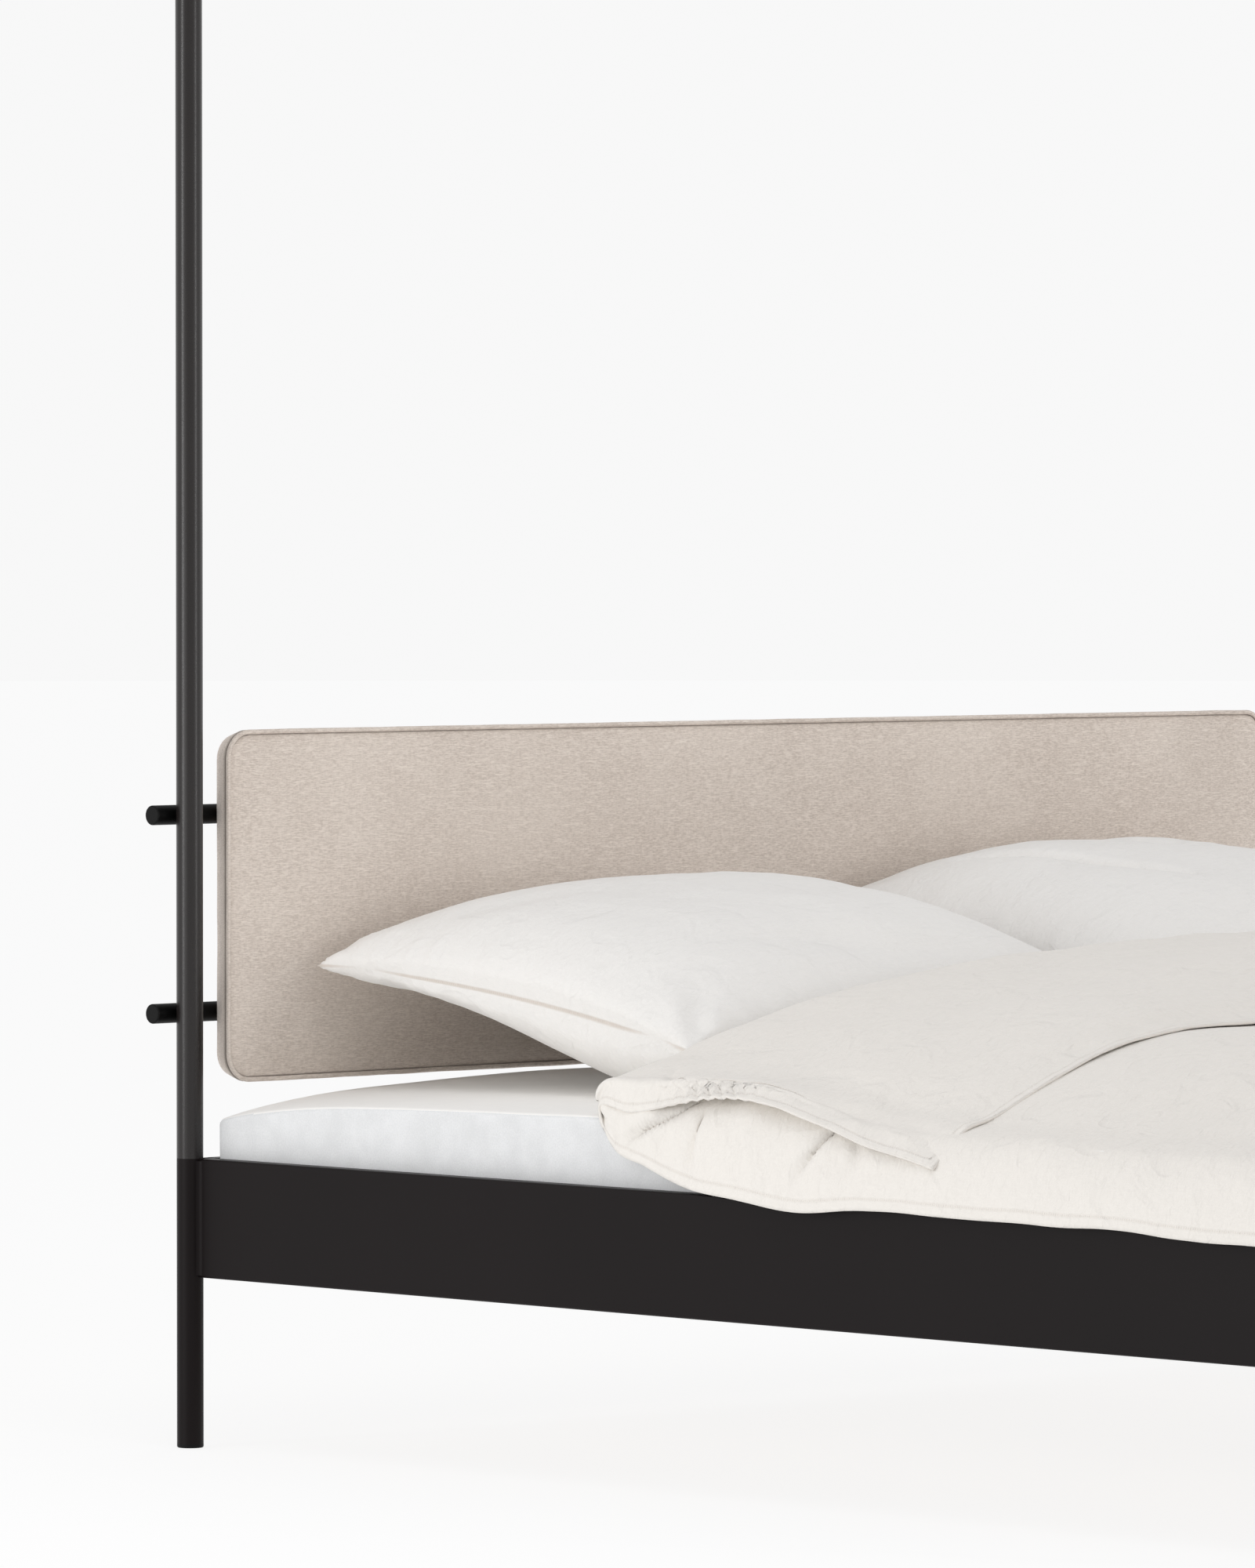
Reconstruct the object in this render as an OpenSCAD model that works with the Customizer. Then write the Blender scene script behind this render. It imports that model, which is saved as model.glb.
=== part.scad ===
// Four-poster canopy bed: a steel tube frame with deep sheet-steel rails, a slatted
// base, an upholstered headboard hung on two rods, a mattress and bedding.
// Origin on the floor at the bed's centre, +Z up, head end at +Y, millimetres.

/* [Frame] */
// Distance between the post axes, across and along the bed
post_pitch = 2040; // [1840:10:2240]
// Outside diameter of the post, leg and canopy tubes
tube_d = 33.7; // [30:0.1:42]
// Wall of the tubes
tube_wall = 2; // [1.5:0.5:3]
// Height of the underside of the rails
rail_z = 215; // [180:5:300]
// Height of the rails' face
rail_h = 150; // [145:5:180]
// Overall height of the canopy
canopy_top = 2050; // [1900:10:2100]

/* [Rails] */
// Depth of the folded rail section
rail_depth = 20; // [16:1:24]
// Thickness of the rail's sheet steel
sheet = 2.5; // [2:0.5:3]
// Outside radius of the rail's folds
fold_r = 3; // [2:0.5:4]
// Radius of the weld fillet between a side rail and its leg
weld_r = 8; // [4:1:10]

/* [Slatted base] */
// Number of slats on each side of the centre beam
slat_count = 14; // [10:1:16]
// Width of a slat
slat_w = 70; // [50:5:80]
// Thickness of a slat
slat_t = 20; // [15:1:24]

/* [Headboard] */
// Height of the headboard's lower edge
board_z = 458; // [455:1:500]
// Height of the headboard itself
board_h = 446; // [350:1:500]
// Thickness of the headboard at its edge
board_t = 26; // [24:1:30]
// Gap from a post's axis to the headboard's end
board_gap = 51; // [30:1:80]
// Corner radius of the headboard
board_r = 45; // [20:1:60]
// Diameter of the two rods
rod_d = 25; // [20:1:30]
// Heights of the two rods' axes
rod_z = [797, 547]; // [520:1:860]
// How far a rod's end stands out past the post's axis
rod_overhang = 38; // [25:1:60]

/* [Bedding] */
// Thickness of the mattress
mattress_h = 160; // [140:5:180]
// Wall of the mattress shell
mattress_wall = 20; // [15:1:30]
// Width of a pillow
pillow_w = 790; // [600:10:800]
// Wall of a pillow's shell
pillow_wall = 8; // [5:1:12]
// Wall of the duvet's shell
duvet_wall = 6; // [5:1:10]

/* [Hidden] */

$fn = 64;
small_fn = 24;              // screws and other small round things
near = 0.05;                // gap at a coped or welded end
bite = 1;                   // how far a cutting shape runs past a face

post = post_pitch / 2;      // a post axis from the centre, on X and on Y
tube_r = tube_d / 2;
bore_r = tube_r - tube_wall;
spigot_r = bore_r - 0.2;    // spigots, stubs and plugs slide into the tubes
rail_top = rail_z + rail_h;
inner = post - rail_depth;  // the rails' inner edges

glide_h = 5;                // plastic foot below a leg's tube
glide_edge = 2;             // its rounded edge
plug_h = 25;                // its plug inside the tube

spigot_half = 60;           // a post spigot's reach into the leg and into the post
screw_r = 3;                // M6 grub screw
screw_len = 7;
screw_hole_r = screw_r + 0.05;
spigot_screw_z = 30;        // grub screw above and below the seam

canopy_drop = 22;                       // canopy rails' axes below the top
canopy_axis = canopy_top - canopy_drop;
corner_arm = 32;                        // a canopy corner's arms, from its centre
corner_z = canopy_axis - corner_arm;
corner_edge = 3;
stub = 60;                              // a corner's stubs past its arms

plate = 4;                  // brackets and end plates
plate_z = [rail_z + 15, rail_z + 69];
plate_y = inner - 28;       // inner edge of a bracket
bracket_past = 2;           // a bracket's outer edge past the end rail's flange
bolt_r = 4;                 // M8
bolt_hole_r = bolt_r + 0.25;
bolt_y = inner - 14;
bolt_z = [rail_z + 30, rail_z + 55];
bolt_head_r = 6.5;
bolt_head_h = 5;
nut_h = 6;
bolt_past = 2;              // a bolt's end past its nut

slat_drop = 79;             // top of the slats below the rails' top edges
slat_z = rail_top - slat_drop;
ledge_z = slat_z - slat_t;
ledge_w = 30;
ledge_t = 3;
ledge_end = 22;             // gap between a ledge's end and the corner bracket
ledge_len = 2 * (plate_y - ledge_end);
beam_w = 40;
beam_h = 45;
hanger_t = 3;
hanger_len = 42;
hanger_lug = 9;             // a shoe's back plate past the beam's side
hanger_low = 2;             // its sides stop this far below the beam's top
beam_play = 1;              // gap between the beam's end and the shoe
slat_end = 5;               // from the bed's centre line to a slat's inner end
slat_inset = 5;             // from a rail's inner edge to a slat's outer end
slat_margin = 40;           // from an end rail to the first slat's edge
slat_span = 2 * (inner - slat_w / 2 - slat_margin);
strap_w = 40;
strap_t = 1.5;
strap_x = [260, 740];

rod_r = rod_d / 2;
rod_wall = 2;
rod_y = post + tube_r + rod_r;
rod_end = post + rod_overhang;
cap_t = 3;
cap_edge = 2;
cap_plug = 14;
cap_play = 0.1;             // between the plug and the rod's bore
rod_screw_head_r = 5;
rod_screw_head = 2;
rod_screw_sunk = 0.3;       // the head's top below the rod's back
rod_screw_grip = 8;         // a rod screw's reach into the post

board_lead = 12;            // the headboard's front ahead of the post axes
board_front = post - board_lead;
board_back = board_front + board_t;
board_half = post - board_gap;
panel_t = 12;
panel_inset = 9;
hook_x = 700;
hook_w = 40;
hook_t = 2.5;
hook_gap = 0.3;
hook_drop = 48;             // hook plate below the rod's axis
hook_screw_r = 2.5;
hook_screw_z = [-24, -40];

mattress_half = inner - 5;
mattress_top = slat_z + mattress_h;
lie = 1;                    // bedding's gap above the mattress

pillow_x = [-805, 45];      // left edges of the two pillows
pillow_y = [300, inner - 12];
pillow_side = [             // a pillow seen from its side, from its front foot
    [0, 0], [0, 50], [240, 180], [578, 245], [688, 210], [688, 80], [548, 0]
];
duvet_y = [-(inner - 8), 290];
duvet_half = post + 25;
duvet_h = 115;
fold_h = 190;               // height of the turned-back fold above the mattress
fold_y = -270;
hem_low = 15;               // the duvet's sides below the rails' top edges
hem_gap = 2;                // and their gap to the rails

// ---- shared shapes ----

// A tube along +Z from z0 to z1
module tube(r, wall, z0, z1) {
    translate([0, 0, z0]) difference() {
        cylinder(r = r, h = z1 - z0);
        translate([0, 0, -bite]) cylinder(r = r - wall, h = z1 - z0 + 2 * bite);
    }
}

// A bar along +Z with its lower edge rounded
module rounded_bar(r, h, edge) {
    rotate_extrude() polygon(concat(
        [[0, h], [0, 0]],
        [for (a = [-90:15:0]) [r - edge + edge * cos(a), edge + edge * sin(a)]],
        [[r, h]]
    ));
}

// A flat bar with rounded corners, w by h, t thick along +Z
module rounded_plate(w, h, r, t) {
    translate([-w / 2 + r, -h / 2, 0]) cube([w - 2 * r, h, t]);
    translate([-w / 2, -h / 2 + r, 0]) cube([w, h - 2 * r, t]);
    for (x = [-1, 1], y = [-1, 1])
        translate([x * (w / 2 - r), y * (h / 2 - r), 0]) cylinder(r = r, h = t);
}

// Children at all four posts
module at_posts() {
    for (x = [-1, 1], y = [-1, 1]) translate([x * post, y * post, 0]) children();
}

// Room for the four posts, cut from what butts against them
module post_cuts() {
    at_posts() cylinder(r = tube_r + near, h = canopy_top + bite);
}

// ---- legs and posts ----

// A leg with its grub screw hole towards the bed's middle, sx = -1 left, sy = 1 head
module leg(sx, sy) {
    color([0.13, 0.12, 0.12]) translate([sx * post, sy * post, 0]) difference() {
        tube(tube_r, tube_wall, glide_h, rail_top);
        inward_screw(sx, rail_top - spigot_screw_z, screw_hole_r);
    }
}

// A canopy post; the head posts also take the rods' screws from behind
module canopy_post(sx, sy) {
    color([0.27, 0.25, 0.24]) translate([sx * post, sy * post, 0]) difference() {
        tube(tube_r, tube_wall, rail_top, corner_z);
        inward_screw(sx, rail_top + spigot_screw_z, screw_hole_r);
        inward_screw(sx, corner_z - spigot_screw_z, screw_hole_r);
        if (sy > 0) for (z = rod_z) translate([0, 0, z]) rotate([-90, 0, 0])
            cylinder(r = screw_hole_r, h = tube_r + bite, $fn = small_fn);
    }
}

// How far past the tube's surface a cylinder of radius r goes: a hole does, a screw doesn't
function past(r) = r > screw_r ? bite : 0;

// A grub screw, or its hole, at height z, from the tube's inner side towards its axis
module inward_screw(sx, z, r) {
    translate([0, 0, z]) rotate([0, -sx * 90, 0]) translate([0, 0, tube_r - screw_len])
        cylinder(r = r, h = screw_len + past(r), $fn = small_fn);
}

module foot_glides() {
    color([0.08, 0.08, 0.08]) at_posts() glide();
}

// A plastic glide with its plug inside the tube
module glide() {
    rounded_bar(tube_r, glide_h, glide_edge);
    translate([0, 0, glide_h]) cylinder(r = spigot_r, h = plug_h);
}

module post_spigots() {
    color([0.55, 0.55, 0.57]) for (x = [-1, 1], y = [-1, 1])
        translate([x * post, y * post, 0]) difference() {
            translate([0, 0, rail_top - spigot_half]) cylinder(r = spigot_r, h = 2 * spigot_half);
            for (z = [-1, 1]) inward_screw(x, rail_top + z * spigot_screw_z, screw_hole_r);
        }
}

module spigot_screws() {
    color([0.2, 0.2, 0.21]) for (x = [-1, 1], y = [-1, 1], z = [-1, 1])
        translate([x * post, y * post, 0]) inward_screw(x, rail_top + z * spigot_screw_z, screw_r);
}

// ---- rails ----

// A quarter turn of the fold's outside, centred on u, z
function fold(u, z, from) =
    [for (a = [from:22.5:from + 90]) [u + fold_r * cos(a), z + fold_r * sin(a)]];

// The rail's folded section: face at u = 0, flanges towards +u, from z = 0 to rail_h
module rail_section() {
    difference() {
        polygon(concat(
            [[rail_depth, rail_h]],
            fold(fold_r, rail_h - fold_r, 90),
            fold(fold_r, fold_r, 180),
            [[rail_depth, 0]]
        ));
        translate([sheet, sheet]) square([rail_depth, rail_h - 2 * sheet]);
    }
}

// A rail along Y with its face at x = 0, up to the legs, and its flanges towards +X,
// which stop at flange_end from the bed's centre
module rail_bar(flange_end) {
    half = post - tube_r;
    difference() {
        translate([0, half, 0]) rotate([90, 0, 0]) linear_extrude(2 * half) rail_section();
        for (y = [0, 1]) mirror([0, y, 0])
            translate([sheet, flange_end, -bite]) cube([rail_depth, rail_depth, rail_h + 2 * bite]);
    }
}

// The weld fillet that rounds the corner between a rail's face and its leg,
// at the post at the origin, for a rail that runs off towards -Y with its face at x = 0
module weld() {
    reach = sqrt(pow(tube_r + weld_r, 2) - pow(weld_r, 2));
    last = atan2(reach, -weld_r);
    linear_extrude(rail_h - 2 * fold_r) polygon(concat(
        [for (k = [0:6]) let (a = 180 + (last - 180) * k / 6)
            [-weld_r - weld_r * cos(a), -reach + weld_r * sin(a)]],
        [[0, -tube_r + 2], [sheet / 2, -tube_r + 2], [sheet / 2, -reach]]
    ));
}

// A side rail, welded to its two legs; sx = -1 is the left one
module side_rail(sx) {
    color([0.16, 0.15, 0.15]) difference() {
        mirror([sx > 0 ? 1 : 0, 0, 0]) translate([-post, 0, rail_z]) {
            rail_bar(inner);
            for (y = [0, 1]) mirror([0, y, 0])
                translate([0, post, fold_r]) weld();
        }
        post_cuts();
    }
}

// The head rail or the foot rail, whose face runs up to the legs; sy = 1 is the head
module end_rail(sy) {
    color([0.16, 0.15, 0.15]) difference() {
        rotate([0, 0, sy > 0 ? -90 : 90]) translate([-post, 0, rail_z]) rail_bar(inner - 2 * plate);
        post_cuts();
    }
}

// A plate with its two bolt holes, from x0 inwards, at the corner sx, sy
module bolted_plate(sx, sy, x0, y1) {
    difference() {
        mirror([sx < 0 ? 1 : 0, 0, 0]) mirror([0, sy < 0 ? 1 : 0, 0])
            translate([x0 - plate, plate_y, plate_z[0]])
                cube([plate, y1 - plate_y, plate_z[1] - plate_z[0]]);
        for (z = bolt_z) translate([sx * x0, sy * bolt_y, z]) rotate([0, 90, 0])
            cylinder(r = bolt_hole_r, h = 6 * plate, center = true, $fn = small_fn);
    }
}

module corner_brackets() {
    color([0.16, 0.15, 0.15]) for (x = [-1, 1], y = [-1, 1])
        bolted_plate(x, y, inner, inner + bracket_past);
}

module rail_end_plates() {
    color([0.16, 0.15, 0.15]) for (x = [-1, 1], y = [-1, 1])
        bolted_plate(x, y, inner - plate, post - sheet);
}

// Hexagon bolts and nuts along X at the four corners
module rail_bolts() {
    color([0.6, 0.6, 0.62]) for (x = [-1, 1], y = [-1, 1], z = bolt_z)
        translate([x * inner, y * bolt_y, z]) rotate([0, x * 90, 0]) {
            translate([0, 0, -2 * plate - bolt_head_h])
                cylinder(r = bolt_head_r, h = bolt_head_h, $fn = 6);
            translate([0, 0, -2 * plate - bite])
                cylinder(r = bolt_r, h = 2 * plate + bite + nut_h + bolt_past, $fn = small_fn);
            cylinder(r = bolt_head_r, h = nut_h, $fn = 6);
        }
}

// ---- slatted base ----

module slat_ledge(sx) {
    color([0.16, 0.15, 0.15]) mirror([sx > 0 ? 1 : 0, 0, 0])
        translate([-inner, -ledge_len / 2, 0]) {
            translate([0, 0, rail_z]) cube([ledge_t, ledge_len, ledge_z - rail_z]);
            translate([0, 0, ledge_z - ledge_t]) cube([ledge_w, ledge_len, ledge_t]);
        }
}

module centre_beam() {
    length = 2 * (inner - hanger_t - beam_play);
    color([0.16, 0.15, 0.15]) translate([0, 0, ledge_z - beam_h]) difference() {
        translate([-beam_w / 2, -length / 2, 0]) cube([beam_w, length, beam_h]);
        translate([-beam_w / 2 + tube_wall, -length / 2 - bite, tube_wall])
            cube([beam_w - 2 * tube_wall, length + 2 * bite, beam_h - 2 * tube_wall]);
    }
}

// Open shoes on the head and foot rails that the centre beam drops into
module beam_hangers() {
    side = beam_w / 2 + near;
    low = ledge_z - beam_h - near;
    color([0.16, 0.15, 0.15]) for (y = [0, 1]) mirror([0, y, 0]) {
        translate([-side - hanger_lug, inner - hanger_t, rail_z])
            cube([2 * (side + hanger_lug), hanger_t, ledge_z - rail_z]);
        translate([-side - hanger_t, inner - hanger_len, low - hanger_t])
            cube([2 * (side + hanger_t), hanger_len - hanger_t, hanger_t]);
        for (x = [-side - hanger_t, side]) translate([x, inner - hanger_len, low])
            cube([hanger_t, hanger_len - hanger_t, beam_h - hanger_low]);
    }
}

module centre_leg() {
    color([0.13, 0.12, 0.12]) tube(tube_r, tube_wall, glide_h, ledge_z - beam_h);
}

module centre_leg_glide() {
    color([0.08, 0.08, 0.08]) glide();
}

// Y of slat number i
function slat_y(i) = -slat_span / 2 + slat_span * i / (slat_count - 1);

module slats(sx) {
    color([0.80, 0.66, 0.47]) mirror([sx > 0 ? 1 : 0, 0, 0]) for (i = [0:slat_count - 1])
        translate([-inner + slat_inset, slat_y(i) - slat_w / 2, ledge_z])
            cube([inner - slat_inset - slat_end, slat_w, slat_t]);
}

// Webbing stapled under the slats that keeps them evenly spaced
module slat_straps(sx) {
    color([0.30, 0.30, 0.31]) for (x = strap_x)
        translate([sx * x - strap_w / 2, slat_y(0) - slat_w / 2, ledge_z - strap_t])
            cube([strap_w, slat_span + slat_w, strap_t]);
}

// ---- canopy ----

// A cast corner whose arms meet the post and two rails, with a stub into each
module canopy_corner(sx, sy) {
    color([0.27, 0.25, 0.24]) translate([sx * post, sy * post, 0]) difference() {
        union() {
            translate([0, 0, canopy_top]) mirror([0, 0, 1])
                rounded_bar(tube_r, canopy_top - corner_z, corner_edge);
            translate([0, 0, corner_z - stub]) cylinder(r = spigot_r, h = stub + bite);
            for (turn = [[0, -sx * 90, 0], [sy * 90, 0, 0]])
                translate([0, 0, canopy_axis]) rotate(turn) {
                    cylinder(r = tube_r, h = corner_arm);
                    cylinder(r = spigot_r, h = corner_arm + stub);
                }
        }
        inward_screw(sx, corner_z - spigot_screw_z, screw_hole_r);
        canopy_rail_screws(sx, sy, screw_hole_r);
    }
}

// The two grub screws that come up from below into a corner's level stubs
module canopy_rail_screws(sx, sy, r) {
    out = corner_arm + stub / 2;
    for (p = [[-sx * out, 0], [0, -sy * out]])
        translate([p[0], p[1], canopy_axis - tube_r - past(r)])
            cylinder(r = r, h = screw_len + past(r), $fn = small_fn);
}

module canopy_rail_body() {
    rotate([90, 0, 0]) tube(tube_r, tube_wall, corner_arm - post, post - corner_arm);
}

module canopy_rail_side(sx) {
    color([0.27, 0.25, 0.24]) difference() {
        translate([sx * post, 0, canopy_axis]) canopy_rail_body();
        for (y = [-1, 1]) translate([sx * post, y * post, 0]) canopy_rail_screws(sx, y, screw_hole_r);
    }
}

module canopy_rail_end(sy) {
    color([0.27, 0.25, 0.24]) difference() {
        translate([0, sy * post, canopy_axis]) rotate([0, 0, 90]) canopy_rail_body();
        for (x = [-1, 1]) translate([x * post, sy * post, 0]) canopy_rail_screws(x, sy, screw_hole_r);
    }
}

module canopy_screws() {
    color([0.2, 0.2, 0.21]) for (x = [-1, 1], y = [-1, 1]) translate([x * post, y * post, 0]) {
        canopy_rail_screws(x, y, screw_r);
        inward_screw(x, corner_z - spigot_screw_z, screw_r);
    }
}

// ---- headboard rods ----

module headboard_rod(z) {
    length = 2 * (rod_end - cap_t);
    color([0.08, 0.08, 0.08]) difference() {
        translate([0, rod_y, z]) rotate([0, 90, 0]) tube(rod_r, rod_wall, -length / 2, length / 2);
        for (x = [-1, 1]) translate([x * post, rod_y, z]) rotate([-90, 0, 0]) {
            cylinder(r = screw_hole_r, h = 2 * (rod_r + bite), center = true, $fn = small_fn);
            translate([0, 0, rod_r - rod_screw_head])
                cylinder(r = rod_screw_head_r + near, h = rod_screw_head + bite, $fn = small_fn);
        }
    }
}

module rod_end_caps() {
    color([0.07, 0.07, 0.07]) for (x = [-1, 1], z = rod_z) translate([x * rod_end, rod_y, z])
        rotate([0, -x * 90, 0]) {
            rounded_bar(rod_r, cap_t, cap_edge);
            translate([0, 0, cap_t]) cylinder(r = rod_r - rod_wall - cap_play, h = cap_plug);
        }
}

// Screws from behind, through each rod and into the head posts
module rod_screws() {
    color([0.12, 0.12, 0.13]) for (x = [-1, 1], z = rod_z) translate([x * post, rod_y, z])
        rotate([-90, 0, 0]) {
            translate([0, 0, rod_r - rod_screw_head])
                cylinder(r = rod_screw_head_r, h = rod_screw_head - rod_screw_sunk, $fn = small_fn);
            translate([0, 0, -rod_r - rod_screw_grip])
                cylinder(r = screw_r, h = 2 * rod_r + rod_screw_grip - rod_screw_head / 2, $fn = small_fn);
        }
}

// ---- headboard ----

// A rounded slab on the headboard's centre, in by inset all round, from y0 to y1
module board_slab(inset, y0, y1) {
    translate([0, y1, board_z + board_h / 2]) rotate([90, 0, 0])
        rounded_plate(2 * (board_half - inset), board_h - 2 * inset, board_r - inset, y1 - y0);
}

module hook_screw_sites() {
    for (x = [-hook_x, hook_x], z = rod_z, dz = hook_screw_z)
        translate([x, board_back - panel_t / 2, z + dz]) rotate([-90, 0, 0]) children();
}

module headboard_panel() {
    color([0.72, 0.58, 0.40]) difference() {
        board_slab(panel_inset, board_back - panel_t, board_back);
        hook_screw_sites() cylinder(r = hook_screw_r + near, h = panel_t, $fn = small_fn);
    }
}

// Foam and cover, which wrap round the edges of the plywood panel
module headboard_cushion() {
    color([0.80, 0.76, 0.71]) difference() {
        board_slab(0, board_front, board_back);
        board_slab(panel_inset - near, board_back - panel_t - near, board_back + bite);
    }
}

// Hooks that hang the panel over the rods and lift straight off them
module headboard_hooks() {
    ring_in = rod_r + hook_gap;
    ring_out = rod_y - board_back - near;
    color([0.35, 0.35, 0.36]) for (x = [-hook_x, hook_x], z = rod_z)
        translate([x - hook_w / 2, rod_y, z]) rotate([90, 0, 90]) difference() {
            union() {
                intersection() {
                    cylinder(r = ring_out, h = hook_w);
                    translate([-ring_out, 0, 0]) cube([2 * ring_out, ring_out, hook_w]);
                }
                translate([-ring_out, -hook_drop, 0]) cube([hook_t - near, hook_drop, hook_w]);
                translate([ring_in, -rod_r / 2, 0]) cube([ring_out - ring_in, rod_r / 2, hook_w]);
            }
            translate([0, 0, -bite]) cylinder(r = ring_in, h = hook_w + 2 * bite);
            for (dz = hook_screw_z) translate([-ring_out - bite, dz, hook_w / 2]) rotate([0, 90, 0])
                cylinder(r = hook_screw_r + near, h = hook_t + 2 * bite, $fn = small_fn);
        }
}

module hook_screws() {
    color([0.6, 0.6, 0.62]) hook_screw_sites()
        cylinder(r = hook_screw_r, h = panel_t / 2 + hook_t - near, $fn = small_fn);
}

// ---- mattress and bedding ----

module mattress_block(t) {
    half = mattress_half - t;
    translate([-half, -half, slat_z + t]) cube([2 * half, 2 * half, mattress_h - 2 * t]);
}

module mattress() {
    color([0.94, 0.93, 0.91]) difference() {
        mattress_block(0);
        mattress_block(mattress_wall);
    }
}

// A pillow that leans on the headboard: low and thin in front, high and full behind,
// in by t all round
module pillow_block(x0, t) {
    mid_y = (pillow_y[0] + pillow_y[1]) / 2;
    half = (pillow_y[1] - pillow_y[0]) / 2;
    mid_z = pillow_side[3][1] / 2;
    fit = [1 - t / half, 1 - t / mid_z];
    translate([x0 + t, 0, mattress_top + lie]) rotate([90, 0, 90])
        linear_extrude(pillow_w - 2 * t) polygon([for (p = pillow_side)
            [mid_y + (p[0] * 2 * half / pillow_side[4][0] - half) * fit[0], mid_z + (p[1] - mid_z) * fit[1]]
        ]);
}

module pillow(x0) {
    color([0.95, 0.95, 0.94]) difference() {
        pillow_block(x0, 0);
        pillow_block(x0, pillow_wall);
    }
}

// The spread duvet and its turned-back head end
module duvet_block(t) {
    low = mattress_top + lie;
    translate([-duvet_half + t, duvet_y[0] + t, low + t])
        cube([2 * (duvet_half - t), duvet_y[1] - duvet_y[0] - 2 * t, duvet_h - 2 * t]);
    translate([-inner + t, fold_y + t, low + t])
        cube([2 * (inner - t), duvet_y[1] - fold_y - 2 * t, fold_h - 2 * t]);
}

module duvet() {
    low = mattress_top + lie;
    length = duvet_y[1] - duvet_y[0];
    color([0.96, 0.94, 0.91]) {
        difference() {
            duvet_block(0);
            duvet_block(duvet_wall);
        }
        // its sides, down past the mattress and over the rails
        for (x = [0, 1]) mirror([x, 0, 0]) translate([-duvet_half, duvet_y[0], 0]) {
            translate([0, 0, rail_top - hem_low])
                cube([duvet_half - post - hem_gap, length, low - rail_top + hem_low]);
            translate([0, 0, rail_top + hem_gap])
                cube([duvet_half - inner + hem_gap, length, low - rail_top - hem_gap]);
        }
    }
}

leg(-1, 1);  // leg_head_left
leg(1, 1);  // leg_head_right
leg(-1, -1);  // leg_foot_left
leg(1, -1);  // leg_foot_right
foot_glides();
canopy_post(-1, 1);  // canopy_post_head_left
canopy_post(1, 1);  // canopy_post_head_right
canopy_post(-1, -1);  // canopy_post_foot_left
canopy_post(1, -1);  // canopy_post_foot_right
post_spigots();
spigot_screws();
side_rail(-1);  // side_rail_left
side_rail(1);  // side_rail_right
end_rail(1);  // head_rail
end_rail(-1);  // foot_rail
corner_brackets();
rail_end_plates();
rail_bolts();
slat_ledge(-1);  // slat_ledge_left
slat_ledge(1);  // slat_ledge_right
centre_beam();
beam_hangers();
centre_leg();
centre_leg_glide();
slats(-1);  // slats_left
slats(1);  // slats_right
slat_straps(-1);  // slat_straps_left
slat_straps(1);  // slat_straps_right
canopy_corner(-1, 1);  // canopy_corner_head_left
canopy_corner(1, 1);  // canopy_corner_head_right
canopy_corner(-1, -1);  // canopy_corner_foot_left
canopy_corner(1, -1);  // canopy_corner_foot_right
canopy_rail_side(-1);  // canopy_rail_left
canopy_rail_side(1);  // canopy_rail_right
canopy_rail_end(1);  // canopy_rail_head
canopy_rail_end(-1);  // canopy_rail_foot
canopy_screws();
headboard_rod(rod_z[0]);  // headboard_rod_upper
headboard_rod(rod_z[1]);  // headboard_rod_lower
rod_end_caps();
rod_screws();
headboard_panel();
headboard_cushion();
headboard_hooks();
hook_screws();
mattress();
pillow(pillow_x[0]);  // pillow_left
pillow(pillow_x[1]);  // pillow_right
duvet();
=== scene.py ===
import math

import bmesh
import bpy
import numpy as np
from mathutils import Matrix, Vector, noise


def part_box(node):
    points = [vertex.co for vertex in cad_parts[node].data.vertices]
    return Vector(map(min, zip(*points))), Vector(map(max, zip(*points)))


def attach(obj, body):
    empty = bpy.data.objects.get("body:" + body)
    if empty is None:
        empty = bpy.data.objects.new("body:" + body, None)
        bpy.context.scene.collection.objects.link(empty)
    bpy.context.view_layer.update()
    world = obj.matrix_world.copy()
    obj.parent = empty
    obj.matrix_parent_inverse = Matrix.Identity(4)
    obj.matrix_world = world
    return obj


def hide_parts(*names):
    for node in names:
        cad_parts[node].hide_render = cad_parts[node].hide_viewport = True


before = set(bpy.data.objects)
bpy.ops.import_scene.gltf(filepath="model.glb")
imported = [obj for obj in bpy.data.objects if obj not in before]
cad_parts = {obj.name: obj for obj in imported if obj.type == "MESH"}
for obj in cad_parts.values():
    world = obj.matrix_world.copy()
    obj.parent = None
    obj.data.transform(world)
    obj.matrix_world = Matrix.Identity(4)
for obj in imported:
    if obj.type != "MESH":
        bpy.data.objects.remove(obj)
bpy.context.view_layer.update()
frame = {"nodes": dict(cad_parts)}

bl_info = {
    "name": "Four-poster canopy bed",
    "version": (1, 0, 0),
    "blender": (4, 5, 0),
    "location": "3D View > Sidebar > Canopy bed",
    "description": "Finishes the steel frame and makes the headboard, mattress and bedding",
    "category": "Object",
}


def box(node):
    low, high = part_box(node)
    return np.array(low, float), np.array(high, float)


CUSHION_LOW, CUSHION_HIGH = box("headboard_cushion")
PANEL_LOW, PANEL_HIGH = box("headboard_panel")
MATTRESS_LOW, MATTRESS_HIGH = box("mattress")


# ---- properties ----


def size(name, description, default):
    return bpy.props.FloatProperty(
        name=name,
        description=description,
        default=default,
        min=0.0,
        soft_max=max(default * 4, 0.01),
        unit="LENGTH",
        precision=4,
    )


def colour(name, description, default):
    return bpy.props.FloatVectorProperty(
        name=name,
        description=description,
        default=default,
        size=3,
        min=0.0,
        max=1.0,
        subtype="COLOR",
    )


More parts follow.
